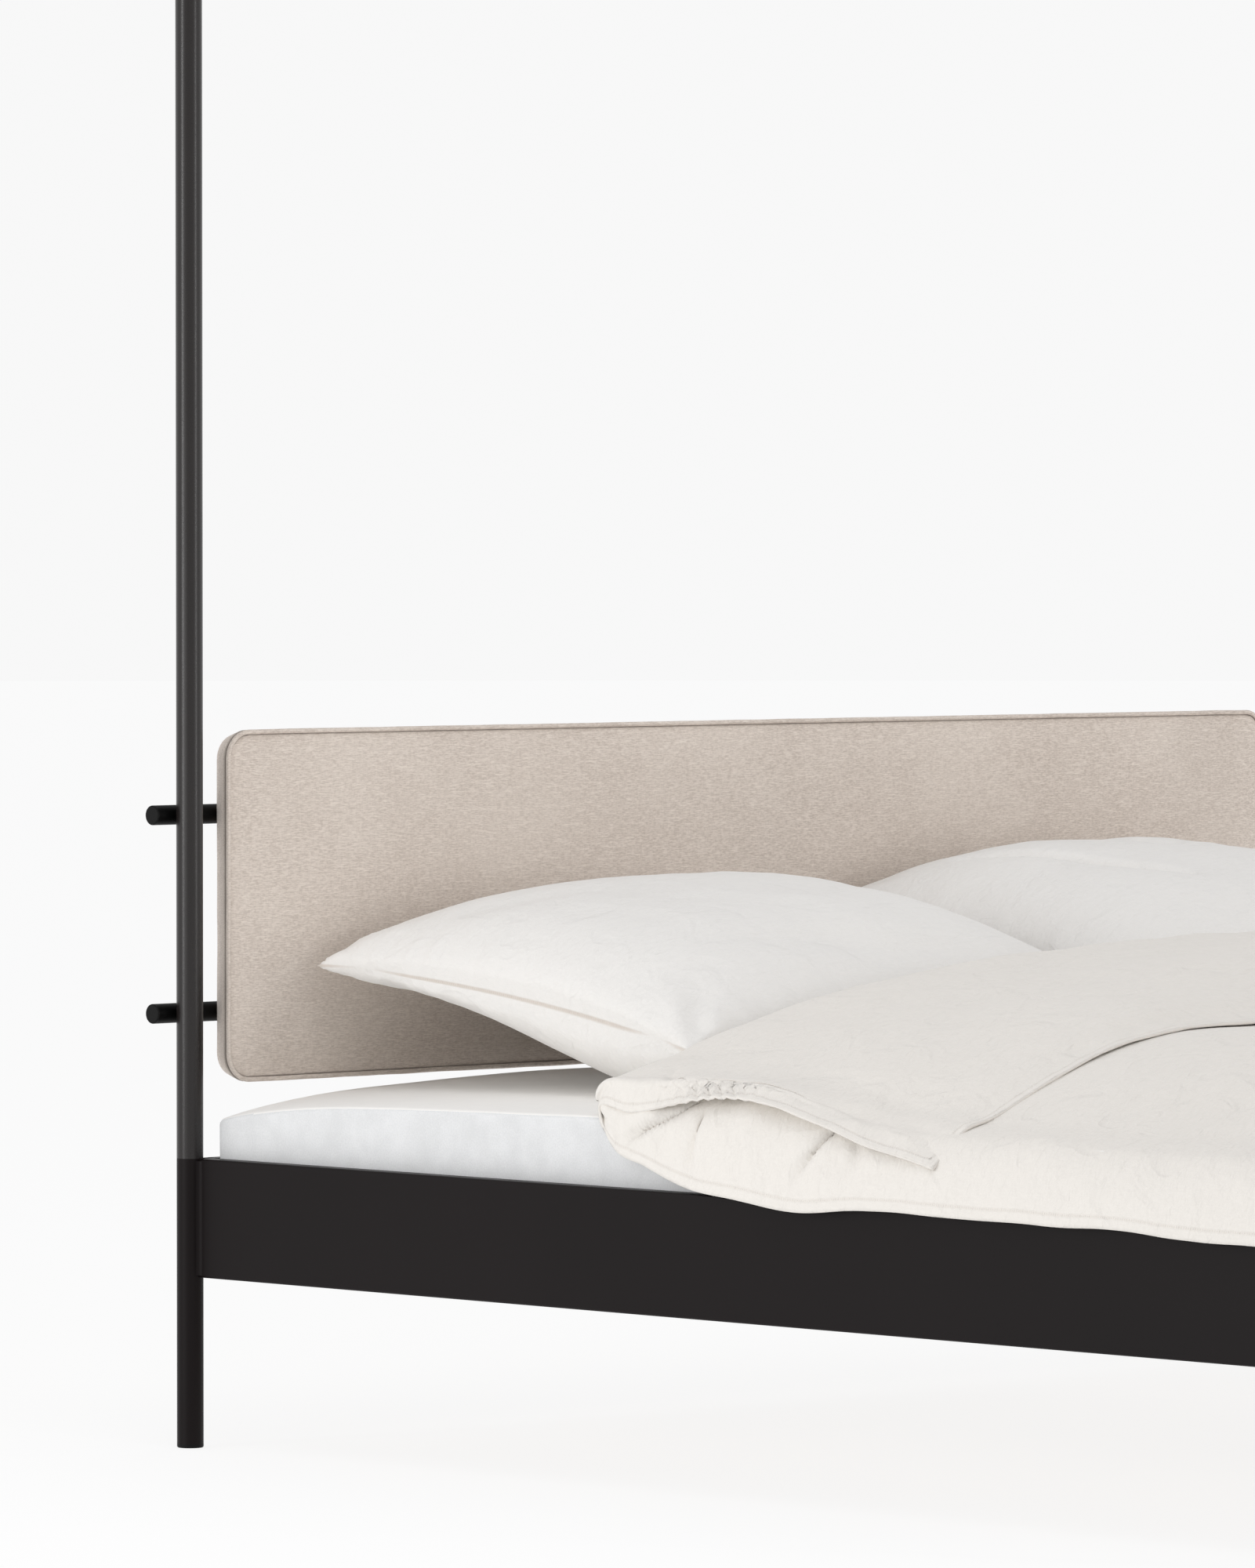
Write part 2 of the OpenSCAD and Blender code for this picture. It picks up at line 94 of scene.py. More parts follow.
class BedSizes(bpy.types.PropertyGroup):
    board_crown: size("Headboard crown", "How far the headboard's face swells", 0.006)
    board_edge: size("Headboard edge", "Roundness of the headboard's edges", 0.006)
    piping: size("Piping radius", "Radius of the piped seam", 0.0030)
    piping_inset: size("Piping inset", "From the headboard's outline to the piping", 0.0030)
    shoulder: size("Mattress shoulder", "Radius of the mattress's edges", 0.007)
    mattress_corner: size("Mattress corner", "Radius of the mattress's corners", 0.010)
    duvet_thickness: size("Duvet thickness", "Thickness of one layer of the duvet", 0.105)
    hem: size("Hem", "Width of the duvet's stitched hem", 0.011)


class BedColours(bpy.types.PropertyGroup):
    frame: colour("Frame", "Powder coat on the rails and legs", (0.0056, 0.0033, 0.0035))
    post: colour("Posts", "Powder coat on the posts and canopy", (0.0125, 0.0100, 0.0096))
    rod: colour("Rods", "Powder coat on the headboard's rods", (0.0020, 0.0019, 0.0019))
    plastic: colour("Plastic", "Glides and end caps", (0.0022, 0.0022, 0.0022))
    board_light: colour("Cloth, light", "Light yarn of the headboard's cloth", (0.885, 0.808, 0.73))
    board_mid: colour("Cloth, mid", "Middle yarn of the headboard's cloth", (0.71, 0.628, 0.561))
    board_dark: colour("Cloth, dark", "Dark yarn of the headboard's cloth", (0.54, 0.463, 0.406))
    top: colour("Mattress top", "Cloth on top of the mattress", (0.94, 0.925, 0.90))
    side: colour("Mattress side", "Cloth round the mattress", (0.78, 0.785, 0.79))
    pillow: colour("Pillows", "Cotton of the pillows", (0.868, 0.850, 0.824))
    duvet: colour("Duvet", "Cotton of the duvet", (0.832, 0.798, 0.752))
    wood: colour("Slats", "Wood of the slats", (0.56, 0.38, 0.21))
    webbing: colour("Webbing", "Tape under the slats", (0.05, 0.05, 0.053))


# ---- shader groups ----


def socket(group, way, name, kind, value=None):
    made = group.interface.new_socket(name=name, in_out=way, socket_type=kind)
    if value is not None:
        made.default_value = value
    return made


class Tree:
    """A node tree with short ways to add and join its nodes."""

    def __init__(self, tree):
        self.tree = tree

    def add(self, kind, settings=None, **inputs):
        node = self.tree.nodes.new(kind)
        for name, value in (settings or {}).items():
            setattr(node, name, value)
        for name, value in inputs.items():
            self.put(node, name.replace("_", " "), value)
        return node

    def put(self, node, name, value):
        target = node.inputs[int(name)] if name.isdigit() else node.inputs[name]
        if isinstance(value, bpy.types.NodeSocket):
            self.tree.links.new(value, target)
        else:
            target.default_value = value

    def math(self, operation, first, second=None, third=None):
        node = self.tree.nodes.new("ShaderNodeMath")
        node.operation = operation
        for k, value in enumerate((first, second, third)):
            if value is not None:
                self.put(node, str(k), value)
        return node.outputs[0]

    def ramp(self, value, low, high, to_low=0.0, to_high=1.0):
        node = self.add(
            "ShaderNodeMapRange", {"clamp": True}, Value=value,
            From_Min=low, From_Max=high, To_Min=to_low, To_Max=to_high,
        )
        return node.outputs["Result"]

    def noise(self, vector, scale, detail=2.0, roughness=0.5, distortion=0.0):
        node = self.add(
            "ShaderNodeTexNoise", None, Vector=vector, Scale=scale,
            Detail=detail, Roughness=roughness, Distortion=distortion,
        )
        return node.outputs["Fac"]

    def stretch(self, vector, scale):
        node = self.add("ShaderNodeMapping", {"vector_type": "POINT"}, Vector=vector, Scale=scale)
        return node.outputs["Vector"]

    def mix(self, share, first, second, blend="MIX"):
        node = self.tree.nodes.new("ShaderNodeMix")
        node.data_type = "RGBA"
        node.blend_type = blend
        for at, value in ((0, share), (6, first), (7, second)):
            if isinstance(value, bpy.types.NodeSocket):
                self.tree.links.new(value, node.inputs[at])
            elif at == 0:
                node.inputs[at].default_value = value
            else:
                node.inputs[at].default_value = (*value, 1.0) if len(value) == 3 else value
        return node.outputs[2]


def group(name, inputs, outputs, fill):
    """A shader group with the given sockets, filled in by fill(tree, inputs, outputs)."""
    made = bpy.data.node_groups.get(name)
    if made:
        return made
    made = bpy.data.node_groups.new(name, "ShaderNodeTree")
    for label, kind, value in inputs:
        socket(made, "INPUT", label, kind, value)
    for label, kind in outputs:
        socket(made, "OUTPUT", label, kind)
    start = made.nodes.new("NodeGroupInput")
    end = made.nodes.new("NodeGroupOutput")
    tree = Tree(made)
    for label, value in fill(tree, start.outputs).items():
        tree.put(end, label, value)
    return made


VECTOR, FLOAT, COLOUR = "NodeSocketVector", "NodeSocketFloat", "NodeSocketColor"


def powder_coat_group():
    """Fine orange peel, with slow changes of tone."""

    def fill(t, given):
        peel = t.noise(given["Vector"], given["Grain"], 2.0, 0.55)
        cloud = t.noise(given["Vector"], 3.0, 3.0, 0.6)
        fleck = t.ramp(t.noise(given["Vector"], 620.0, 1.0), 0.62, 0.8)
        tone = t.ramp(cloud, 0.3, 0.7, 0.90, 1.10)
        tone = t.math("ADD", tone, t.math("MULTIPLY", fleck, 0.16))
        shaded = t.add("ShaderNodeVectorMath", {"operation": "SCALE"}, Scale=tone)
        t.put(shaded, "0", given["Color"])
        rough = t.math("ADD", given["Roughness"], t.ramp(peel, 0.3, 0.7, -0.035, 0.035))
        return {"Color": shaded.outputs[0], "Roughness": rough, "Height": peel}

    return group(
        "Powder coat",
        [("Vector", VECTOR, None), ("Color", COLOUR, (0.1, 0.1, 0.1, 1.0)),
         ("Roughness", FLOAT, 0.45), ("Grain", FLOAT, 900.0)],
        [("Color", COLOUR), ("Roughness", FLOAT), ("Height", FLOAT)],
        fill,
    )


def melange_group():
    """Cloth of mixed yarns: short level slubs over a fine plain weave."""

    def fill(t, given):
        v = given["Vector"]
        slub = t.noise(t.stretch(v, (150.0, 520.0, 800.0)), 1.0, 3.0, 0.62, 0.2)
        long_slub = t.noise(t.stretch(v, (60.0, 340.0, 620.0)), 1.0, 2.0, 0.5, 0.2)
        cross = t.noise(t.stretch(v, (520.0, 520.0, 120.0)), 1.0, 2.0, 0.5)
        cloud = t.noise(v, 5.5, 3.0, 0.6)
        dark = t.ramp(t.math("ADD", slub, t.math("MULTIPLY", cross, 0.22)), 0.50, 0.74)
        light = t.ramp(long_slub, 0.50, 0.72)
        base = t.mix(dark, given["Mid"], given["Dark"])
        base = t.mix(t.math("MULTIPLY", light, 0.48), base, given["Light"])
        base = t.mix(t.ramp(cloud, 0.35, 0.65, 0.0, 0.20), base, given["Light"])
        height = t.math("ADD", t.math("MULTIPLY", slub, 0.6), t.math("MULTIPLY", cross, 0.4))
        return {"Color": base, "Height": height}

    return group(
        "Melange cloth",
        [("Vector", VECTOR, None), ("Light", COLOUR, (0.7, 0.6, 0.5, 1.0)),
         ("Mid", COLOUR, (0.5, 0.4, 0.3, 1.0)), ("Dark", COLOUR, (0.3, 0.25, 0.2, 1.0))],
        [("Color", COLOUR), ("Height", FLOAT)],
        fill,
    )


def thread_group():
    """Warp and weft threads of a plain weave, with uneven yarn."""

    def fill(t, given):
        v = given["Vector"]
        warp = t.noise(t.stretch(v, (1.0, 0.06, 0.06)), given["Threads"], 2.0, 0.6)
        weft = t.noise(t.stretch(v, (0.06, 1.0, 1.0)), given["Threads"], 2.0, 0.6)
        yarn = t.math("MULTIPLY", t.math("ADD", warp, weft), 0.5)
        tone = t.ramp(yarn, 0.38, 0.62, 1.0, 0.0)
        tone = t.math("MULTIPLY", tone, given["Contrast"])
        grey = t.mix(tone, given["Color"], (0.0, 0.0, 0.0))
        return {"Color": grey, "Height": yarn}

    return group(
        "Plain weave",
        [("Vector", VECTOR, None), ("Color", COLOUR, (0.8, 0.8, 0.8, 1.0)),
         ("Threads", FLOAT, 900.0), ("Contrast", FLOAT, 0.05)],
        [("Color", COLOUR), ("Height", FLOAT)],
        fill,
    )


def crumple_group():
    """Soft creases of washed cotton at two sizes."""

    def fill(t, given):
        v = given["Vector"]
        large = t.noise(v, given["Scale"], 3.0, 0.5, 0.8)
        finer = t.math("MULTIPLY", given["Scale"], 4.0)
        fine = t.noise(t.stretch(v, (1.0, 2.4, 1.6)), finer, 3.0, 0.55, 0.6)
        ridge = t.math("ABSOLUTE", t.math("SUBTRACT", large, 0.5))
        ridge = t.math("POWER", t.ramp(ridge, 0.0, 0.16, 1.0, 0.0), 2.0)
        height = t.math("ADD", t.math("MULTIPLY", large, 0.55), t.math("MULTIPLY", fine, 0.25))
        height = t.math("ADD", height, t.math("MULTIPLY", ridge, 0.10))
        return {"Height": height, "Ridge": ridge}

    return group(
        "Soft crumple",
        [("Vector", VECTOR, None), ("Scale", FLOAT, 9.0)],
        [("Height", FLOAT), ("Ridge", FLOAT)],
        fill,
    )


def stitch_group():
    """A row of stitches at a set distance from a cloth's edge, and a groove mask beside it, used for bumps
    and for painted shade.
    """

    def fill(t, given):
        away = t.math("ABSOLUTE", t.math("SUBTRACT", given["Edge"], given["Inset"]))
        line = t.ramp(away, 0.0004, 0.0013, 1.0, 0.0)
        groove = t.ramp(t.math("DIVIDE", away, given["Width"]), 0.0, 1.0, 1.0, 0.0)
        dash = t.math("PINGPONG", given["Along"], 0.0018)
        dash = t.ramp(dash, 0.0004, 0.0008)
        return {"Thread": t.math("MULTIPLY", line, dash), "Groove": groove}

    return group(
        "Stitch row",
        [("Edge", FLOAT, 0.0), ("Along", FLOAT, 0.0), ("Inset", FLOAT, 0.01), ("Width", FLOAT, 0.0035)],
        [("Thread", FLOAT), ("Groove", FLOAT)],
        fill,
    )


def grain_group():
    """Straight wood grain along X, with rings, pores and slow changes of tone."""

    def fill(t, given):
        v = given["Vector"]
        rings = t.noise(t.stretch(v, (1.4, 26.0, 26.0)), 1.0, 4.0, 0.55, 0.9)
        line = t.math("PINGPONG", t.math("MULTIPLY", rings, 9.0), 1.0)
        pores = t.noise(t.stretch(v, (38.0, 900.0, 900.0)), 1.0, 2.0, 0.6)
        piece = t.noise(t.stretch(v, (0.5, 9.0, 9.0)), 1.0, 1.0)
        tone = t.math("MULTIPLY", t.ramp(line, 0.0, 1.0), 0.42)
        tone = t.math("ADD", tone, t.ramp(pores, 0.52, 0.75, 0.0, 0.28))
        tone = t.math("ADD", tone, t.ramp(piece, 0.35, 0.65, -0.12, 0.16))
        return {"Color": t.mix(tone, given["Light"], given["Dark"]), "Height": pores}

    return group(
        "Wood grain",
        [("Vector", VECTOR, None), ("Light", COLOUR, (0.6, 0.4, 0.2, 1.0)),
         ("Dark", COLOUR, (0.4, 0.25, 0.12, 1.0))],
        [("Color", COLOUR), ("Height", FLOAT)],
        fill,
    )


# ---- materials ----


def new_material(name, **settings):
    """A Principled material with settings on the shader's own sockets."""
    made = bpy.data.materials.new(name)
    made.use_nodes = True
    made.node_tree.nodes.clear()
    t = Tree(made.node_tree)
    shader = t.add("ShaderNodeBsdfPrincipled")
    out = t.add("ShaderNodeOutputMaterial")
    made.node_tree.links.new(shader.outputs[0], out.inputs[0])
    for label, value in settings.items():
        shader.inputs[label.replace("_", " ")].default_value = value
    return made, t, shader


def use(t, made, **inputs):
    node = t.tree.nodes.new("ShaderNodeGroup")
    node.node_tree = made
    for label, value in inputs.items():
        if isinstance(value, tuple) and len(value) == 3:
            value = (*value, 1.0)
        t.put(node, label.replace("_", " "), value)
    return node.outputs


def bump(t, shader, layers):
    """Stacks bumps, each (height, strength, distance), under the shader's normal."""
    normal = None
    for height, strength, distance in layers:
        node = t.add("ShaderNodeBump", None, Height=height, Strength=strength, Distance=distance)
        if normal is not None:
            t.put(node, "Normal", normal)
        normal = node.outputs["Normal"]
    t.put(shader, "Normal", normal)


def place(t):
    return t.add("ShaderNodeTexCoord").outputs["Object"]


def hem_place(t):
    """How far in from an edge of the cloth, and how far along it."""
    uv = t.add("ShaderNodeUVMap", {"uv_map": "hem"}).outputs[0]
    apart = t.add("ShaderNodeSeparateXYZ", None, Vector=uv)
    return apart.outputs["X"], apart.outputs["Y"]


def powder_coat(name, paint, roughness, specular, grain=900.0, peel=(0.12, 0.0002)):
    """Paint with an orange peel of the given strength and depth."""
    made, t, shader = new_material(name, Specular_IOR_Level=specular)
    coat = use(
        t, powder_coat_group(), Vector=place(t), Color=tuple(paint), Roughness=roughness, Grain=grain
    )
    t.put(shader, "Base Color", coat["Color"])
    t.put(shader, "Roughness", coat["Roughness"])
    bump(t, shader, [(coat["Height"], *peel)])
    return made


def steel(name, tint, roughness, along=(4.0, 240.0, 240.0)):
    made, t, shader = new_material(name, Metallic=1.0)
    v = place(t)
    scratch = t.noise(t.stretch(v, along), 1.0, 3.0, 0.6)
    cloud = t.noise(v, 40.0, 2.0)
    worn = tuple(0.75 * c for c in tint)
    t.put(shader, "Base Color", t.mix(t.ramp(cloud, 0.3, 0.7, 0.0, 0.35), tint, worn))
    t.put(shader, "Roughness", t.ramp(scratch, 0.3, 0.7, roughness - 0.08, roughness + 0.1))
    bump(t, shader, [(scratch, 0.15, 0.0002)])
    return made


def timber(name, light):
    made, t, shader = new_material(name, Specular_IOR_Level=0.35)
    grain = use(t, grain_group(), Vector=place(t), Light=tuple(light), Dark=tuple(0.62 * c for c in light))
    t.put(shader, "Base Color", grain["Color"])
    t.put(shader, "Roughness", t.ramp(grain["Height"], 0.4, 0.7, 0.5, 0.68))
    bump(t, shader, [(grain["Height"], 0.18, 0.0004)])
    return made


def headboard_cloth(colours, seam):
    made, t, shader = new_material(
        "Headboard cloth", Roughness=0.92, Specular_IOR_Level=0.2, Sheen_Weight=0.18, Sheen_Roughness=0.5
    )
    cloth = use(
        t, melange_group(), Vector=place(t), Light=tuple(colours.board_light),
        Mid=tuple(colours.board_mid), Dark=tuple(colours.board_dark),
    )
    edge, along = hem_place(t)
    row = use(t, stitch_group(), Edge=edge, Along=along, Inset=seam, Width=0.0022)
    # painted shade: the groove beside the piping is darkened towards a deep brown, standing in for the shadow
    # in the seam
    shade = t.math("MULTIPLY", row["Groove"], 0.85)
    t.put(shader, "Base Color", t.mix(shade, cloth["Color"], tuple(0.22 * c for c in colours.board_dark)))
    bump(t, shader, [(cloth["Height"], 0.45, 0.0009)])
    return made


def cotton(name, paint, threads, contrast, crumple, rows, width, depth):
    """Cotton with soft creases, and rows of stitches at the given distances from its edges; depth is how dark
    the painted shade in each stitch groove is.
    """
    made, t, shader = new_material(
        name, Roughness=0.88, Specular_IOR_Level=0.18, Sheen_Weight=0.12, Sheen_Roughness=0.45
    )
    v = place(t)
    weave = use(t, thread_group(), Vector=v, Color=tuple(paint), Threads=threads, Contrast=contrast)
    folds = use(t, crumple_group(), Vector=v, Scale=11.0)
    tone = weave["Color"]
    layers = [(folds["Height"], crumple, 0.016), (weave["Height"], 0.22, 0.0006)]
    edge, along = hem_place(t)
    for inset in rows:
        row = use(t, stitch_group(), Edge=edge, Along=along, Inset=inset, Width=width)
        # painted shade: each stitch groove is darkened towards a warm brown, standing in for the shadow and
        # warm bounce light in the seam
        shade = t.math("MULTIPLY", row["Groove"], depth)
        tone = t.mix(shade, tone, tuple(c * k for c, k in zip(paint, (0.62, 0.52, 0.43))))
        tone = t.mix(t.math("MULTIPLY", row["Thread"], 0.4), tone, tuple(min(1.0, c * 1.04) for c in paint))
        level = t.math("SUBTRACT", t.math("MULTIPLY", row["Thread"], 0.5), row["Groove"])
        layers.append((level, 0.7, 0.0010))
    t.put(shader, "Base Color", tone)
    bump(t, shader, layers)
    return made


def knit(name, paint, contrast):
    made, t, shader = new_material(
        name, Roughness=0.93, Specular_IOR_Level=0.15, Sheen_Weight=0.1, Sheen_Roughness=0.5
    )
    v = place(t)
    weave = use(t, thread_group(), Vector=v, Color=tuple(paint), Threads=420.0, Contrast=contrast)
    t.put(shader, "Base Color", weave["Color"])
    bump(t, shader, [(weave["Height"], 0.35, 0.0012)])
    return made


def tape(name, paint):
    made, t, shader = new_material(name, Roughness=0.85, Sheen_Weight=0.1, Sheen_Roughness=0.4)
    v = place(t)
    wave = t.add("ShaderNodeTexWave", {"bands_direction": "DIAGONAL"}, Vector=v, Scale=140.0, Distortion=0.6)
    tone = t.mix(t.ramp(wave.outputs["Fac"], 0.2, 0.8, 0.0, 0.5), tuple(paint), tuple(0.4 * c for c in paint))
    t.put(shader, "Base Color", tone)
    bump(t, shader, [(wave.outputs["Fac"], 0.4, 0.0006)])
    return made


def assign(node, made):
    """Puts a material on every slot of a CAD node."""
    thing = frame["nodes"][node]
    if not thing.material_slots:
        thing.data.materials.append(made)
    for slot in thing.material_slots:
        slot.material = made


# ---- mesh helpers ----


def clear_selection():
    for thing in bpy.context.selected_objects:
        thing.select_set(False)


def block(name, low, high):
    """A block between two corners, ready to be shaped in edit mode."""
    clear_selection()
    bpy.ops.mesh.primitive_cube_add(size=1.0, location=tuple((low + high) / 2), scale=tuple(high - low))
    made = bpy.context.object
    made.name = made.data.name = name
    bpy.ops.object.transform_apply(location=True, rotation=True, scale=True)
    bpy.ops.object.mode_set(mode="EDIT")
    bpy.ops.mesh.select_mode(type="EDGE")
    return made


def pick_edges(thing, wanted):
    """Selects the edges whose two ends pass a test."""
    mesh = bmesh.from_edit_mesh(thing.data)
    for edge in mesh.edges:
        a, b = edge.verts
        edge.select_set(bool(wanted(a.co, b.co)))
    bmesh.update_edit_mesh(thing.data)


def cut_across(axis, place_at):
    """Cuts the whole mesh by a plane square to an axis."""
    at, way = [0.0, 0.0, 0.0], [0.0, 0.0, 0.0]
    at[axis], way[axis] = place_at, 1.0
    bpy.ops.mesh.select_all(action="SELECT")
    bpy.ops.mesh.bisect(plane_co=tuple(at), plane_no=tuple(way))


def new_piece(name, points, faces, uv):
    """A mesh of its own, with "hem" coordinates: how far in from an edge, and along it."""
    mesh = bpy.data.meshes.new(name)
    mesh.from_pydata([tuple(p) for p in points], [], faces)
    mesh.update()
    made = bpy.data.objects.new(name, mesh)
    bpy.context.scene.collection.objects.link(made)
    set_hem(made, uv)
    outward(made)
    return made


def set_hem(thing, uv):
    store = thing.data.uv_layers.new(name="hem")
    corners = np.empty(len(thing.data.loops), int)
    thing.data.loops.foreach_get("vertex_index", corners)
    store.data.foreach_set("uv", np.asarray(uv, float)[corners].ravel())


def outward(thing):
    """Points the faces out and shades them smooth."""
    work = bmesh.new()
    work.from_mesh(thing.data)
    bmesh.ops.recalc_face_normals(work, faces=work.faces)
    work.to_mesh(thing.data)
    work.free()
    thing.data.polygons.foreach_set("use_smooth", [True] * len(thing.data.polygons))
    thing.data.update()


def two_sided(name, upper, lower, uv):
    """A closed form from two grids of points, joined round their rims."""
    rows, columns = upper.shape[:2]
    count = rows * columns

    def at(r, c, side):
        return side * count + r * columns + c

    faces = []
    for r in range(rows - 1):
        for c in range(columns - 1):
            faces.append((at(r, c, 0), at(r, c + 1, 0), at(r + 1, c + 1, 0), at(r + 1, c, 0)))
            faces.append((at(r, c, 1), at(r + 1, c, 1), at(r + 1, c + 1, 1), at(r, c + 1, 1)))
    rim = [(0, c) for c in range(columns - 1)]
    rim += [(r, columns - 1) for r in range(rows - 1)]
    rim += [(rows - 1, c) for c in range(columns - 1, 0, -1)]
    rim += [(r, 0) for r in range(rows - 1, 0, -1)]
    for k, here in enumerate(rim):
        there = rim[(k + 1) % len(rim)]
        faces.append((at(*here, 0), at(*here, 1), at(*there, 1), at(*there, 0)))
    points = np.concatenate([upper.reshape(-1, 3), lower.reshape(-1, 3)])
    return new_piece(name, points, faces, np.concatenate([uv.reshape(-1, 2)] * 2))


def curve_through(at, values, wanted):
    """Smooth values at the wanted places, through values given at places in order."""
    at, values, wanted = np.asarray(at, float), np.asarray(values, float), np.asarray(wanted, float)
    step = np.diff(at).reshape((-1,) + (1,) * (values.ndim - 1))
    slope = np.diff(values, axis=0) / step
    tangent = np.empty_like(values)
    tangent[0], tangent[-1] = slope[0], slope[-1]
    left, right = step[:-1], step[1:]
    tangent[1:-1] = (slope[:-1] * right + slope[1:] * left) / (left + right)
    k = np.clip(np.searchsorted(at, wanted, side="right") - 1, 0, len(at) - 2)
    h = (at[k + 1] - at[k]).reshape((-1,) + (1,) * (values.ndim - 1))
    s = (wanted - at[k]).reshape(h.shape) / h
    return (
        (2 * s**3 - 3 * s**2 + 1) * values[k]
        + (s**3 - 2 * s**2 + s) * h * tangent[k]
        + (3 * s**2 - 2 * s**3) * values[k + 1]
        + (s**3 - s**2) * h * tangent[k + 1]
    )


def grid_normals(points):
    """Unit normals of a grid of points."""
    across = np.gradient(points, axis=1)
    along = np.gradient(points, axis=0)
    normal = np.cross(across, along)
    length = np.linalg.norm(normal, axis=2, keepdims=True)
    return normal / np.maximum(length, 1e-9)


def lumps(points, scale, seed, octaves=2):
    """Smooth noise from -1 to 1 at each point, of waves about 1 / scale long."""
    flat = np.asarray(points, float).reshape(-1, points.shape[-1])
    if flat.shape[1] == 2:
        flat = np.column_stack([flat, np.zeros(len(flat))])
    shift = Vector((seed * 17.3, seed * 5.1, seed * 9.7))
    found = np.zeros(len(flat))
    for octave in range(octaves):
        k = scale * 2**octave
        part = [noise.noise(Vector(p) * k + shift) for p in flat]
        found += np.array(part) * 0.5**octave
    return found.reshape(np.asarray(points).shape[:-1])


def spread(total, edge_steps, middle_step):
    """Places from 0 to total, close together near both ends."""
    near = np.cumsum([0.0] + list(edge_steps))
    count = max(2, int(round((total - 2 * near[-1]) / middle_step)))
    middle = np.linspace(near[-1], total - near[-1], count + 1)
    return np.concatenate([near[:-1], middle, (total - near[::-1])[1:]])


def stepped(*stretches):
    """Places from 0 on, each stretch given by its end and the step to take in it."""
    places = [0.0]
    for end, step in stretches:
        count = max(1, int(round((end - places[-1]) / step)))
        places += list(np.linspace(places[-1], end, count + 1)[1:])
    return np.array(places)


def smooth_step(x):
    """0 up to 0, 1 from 1 on, and a smooth rise between."""
    x = np.clip(x, 0.0, 1.0)
    return x * x * (3 - 2 * x)


def bell(x, middle, width):
    """1 at the middle, fading to 0 on both sides."""
    return np.exp(-(((x - middle) / width) ** 2))


def crease(u, v, start, finish, width, ends):
    """1 along a line between two places, fading to 0 beside it and falling off over its ends."""
    run = np.array(finish) - np.array(start)
    t = np.clip(((u - start[0]) * run[0] + (v - start[1]) * run[1]) / (run @ run), 0, 1)
    away = np.hypot(u - start[0] - t * run[0], v - start[1] - t * run[1])
    return np.exp(-((away / width) ** 2)) * np.sin(np.pi * np.clip(t, ends, 1 - ends)) ** 0.5


def surface(thing, *cloths):
    """Gives a piece its materials, in place of any it has."""
    thing.data.materials.clear()
    for cloth in cloths:
        thing.data.materials.append(cloth)


# ---- headboard ----


def slab(name, low, high, corner, rounded, pocket, across, up):
    """A board with rounded corners and a pocket in its back, cut into a grid of faces."""
    made = block(name, low, high)
    pick_edges(made, lambda a, b: abs(a.y - b.y) > 1e-4)
    bpy.ops.mesh.bevel(offset=corner, segments=10, profile=0.5)
    pick_edges(made, lambda a, b: abs(a.y - b.y) < 1e-5 and abs(a.y - low[1]) < 1e-4)
    bpy.ops.mesh.bevel(offset=rounded, segments=4, profile=0.5)
    bpy.ops.mesh.select_mode(type="FACE")
    mesh = bmesh.from_edit_mesh(made.data)
    for face in mesh.faces:
        face.select_set(face.normal.y > 0.9)
    bmesh.update_edit_mesh(made.data)
    bpy.ops.mesh.inset(thickness=pocket[0], depth=0.0)
    bpy.ops.mesh.inset(thickness=0.0, depth=-pocket[1])
    for axis, count in ((0, across), (2, up)):
        for k in range(1, count):
            cut_across(axis, low[axis] + (high[axis] - low[axis]) * k / count)
    bpy.ops.object.mode_set(mode="OBJECT")
    return made


def outline_distance(x, z, low, high, corner):
    """How far inside a rounded rectangle each point is."""
    cx, cz = (low[0] + high[0]) / 2, (low[2] + high[2]) / 2
    qx = np.abs(x - cx) - ((high[0] - low[0]) / 2 - corner)
    qz = np.abs(z - cz) - ((high[2] - low[2]) / 2 - corner)
    outside = np.hypot(np.maximum(qx, 0), np.maximum(qz, 0)) + np.minimum(np.maximum(qx, qz), 0)
    return corner - outside


def co_of(thing):
    found = np.empty(len(thing.data.vertices) * 3)
    thing.data.vertices.foreach_get("co", found)
    return found.reshape(-1, 3)


def set_co(thing, points):
    thing.data.vertices.foreach_set("co", np.asarray(points, float).ravel())
    thing.data.update()


BOARD_CORNER = 0.038
# room between the pad's pocket and its board
POCKET_ROOM = 0.0004


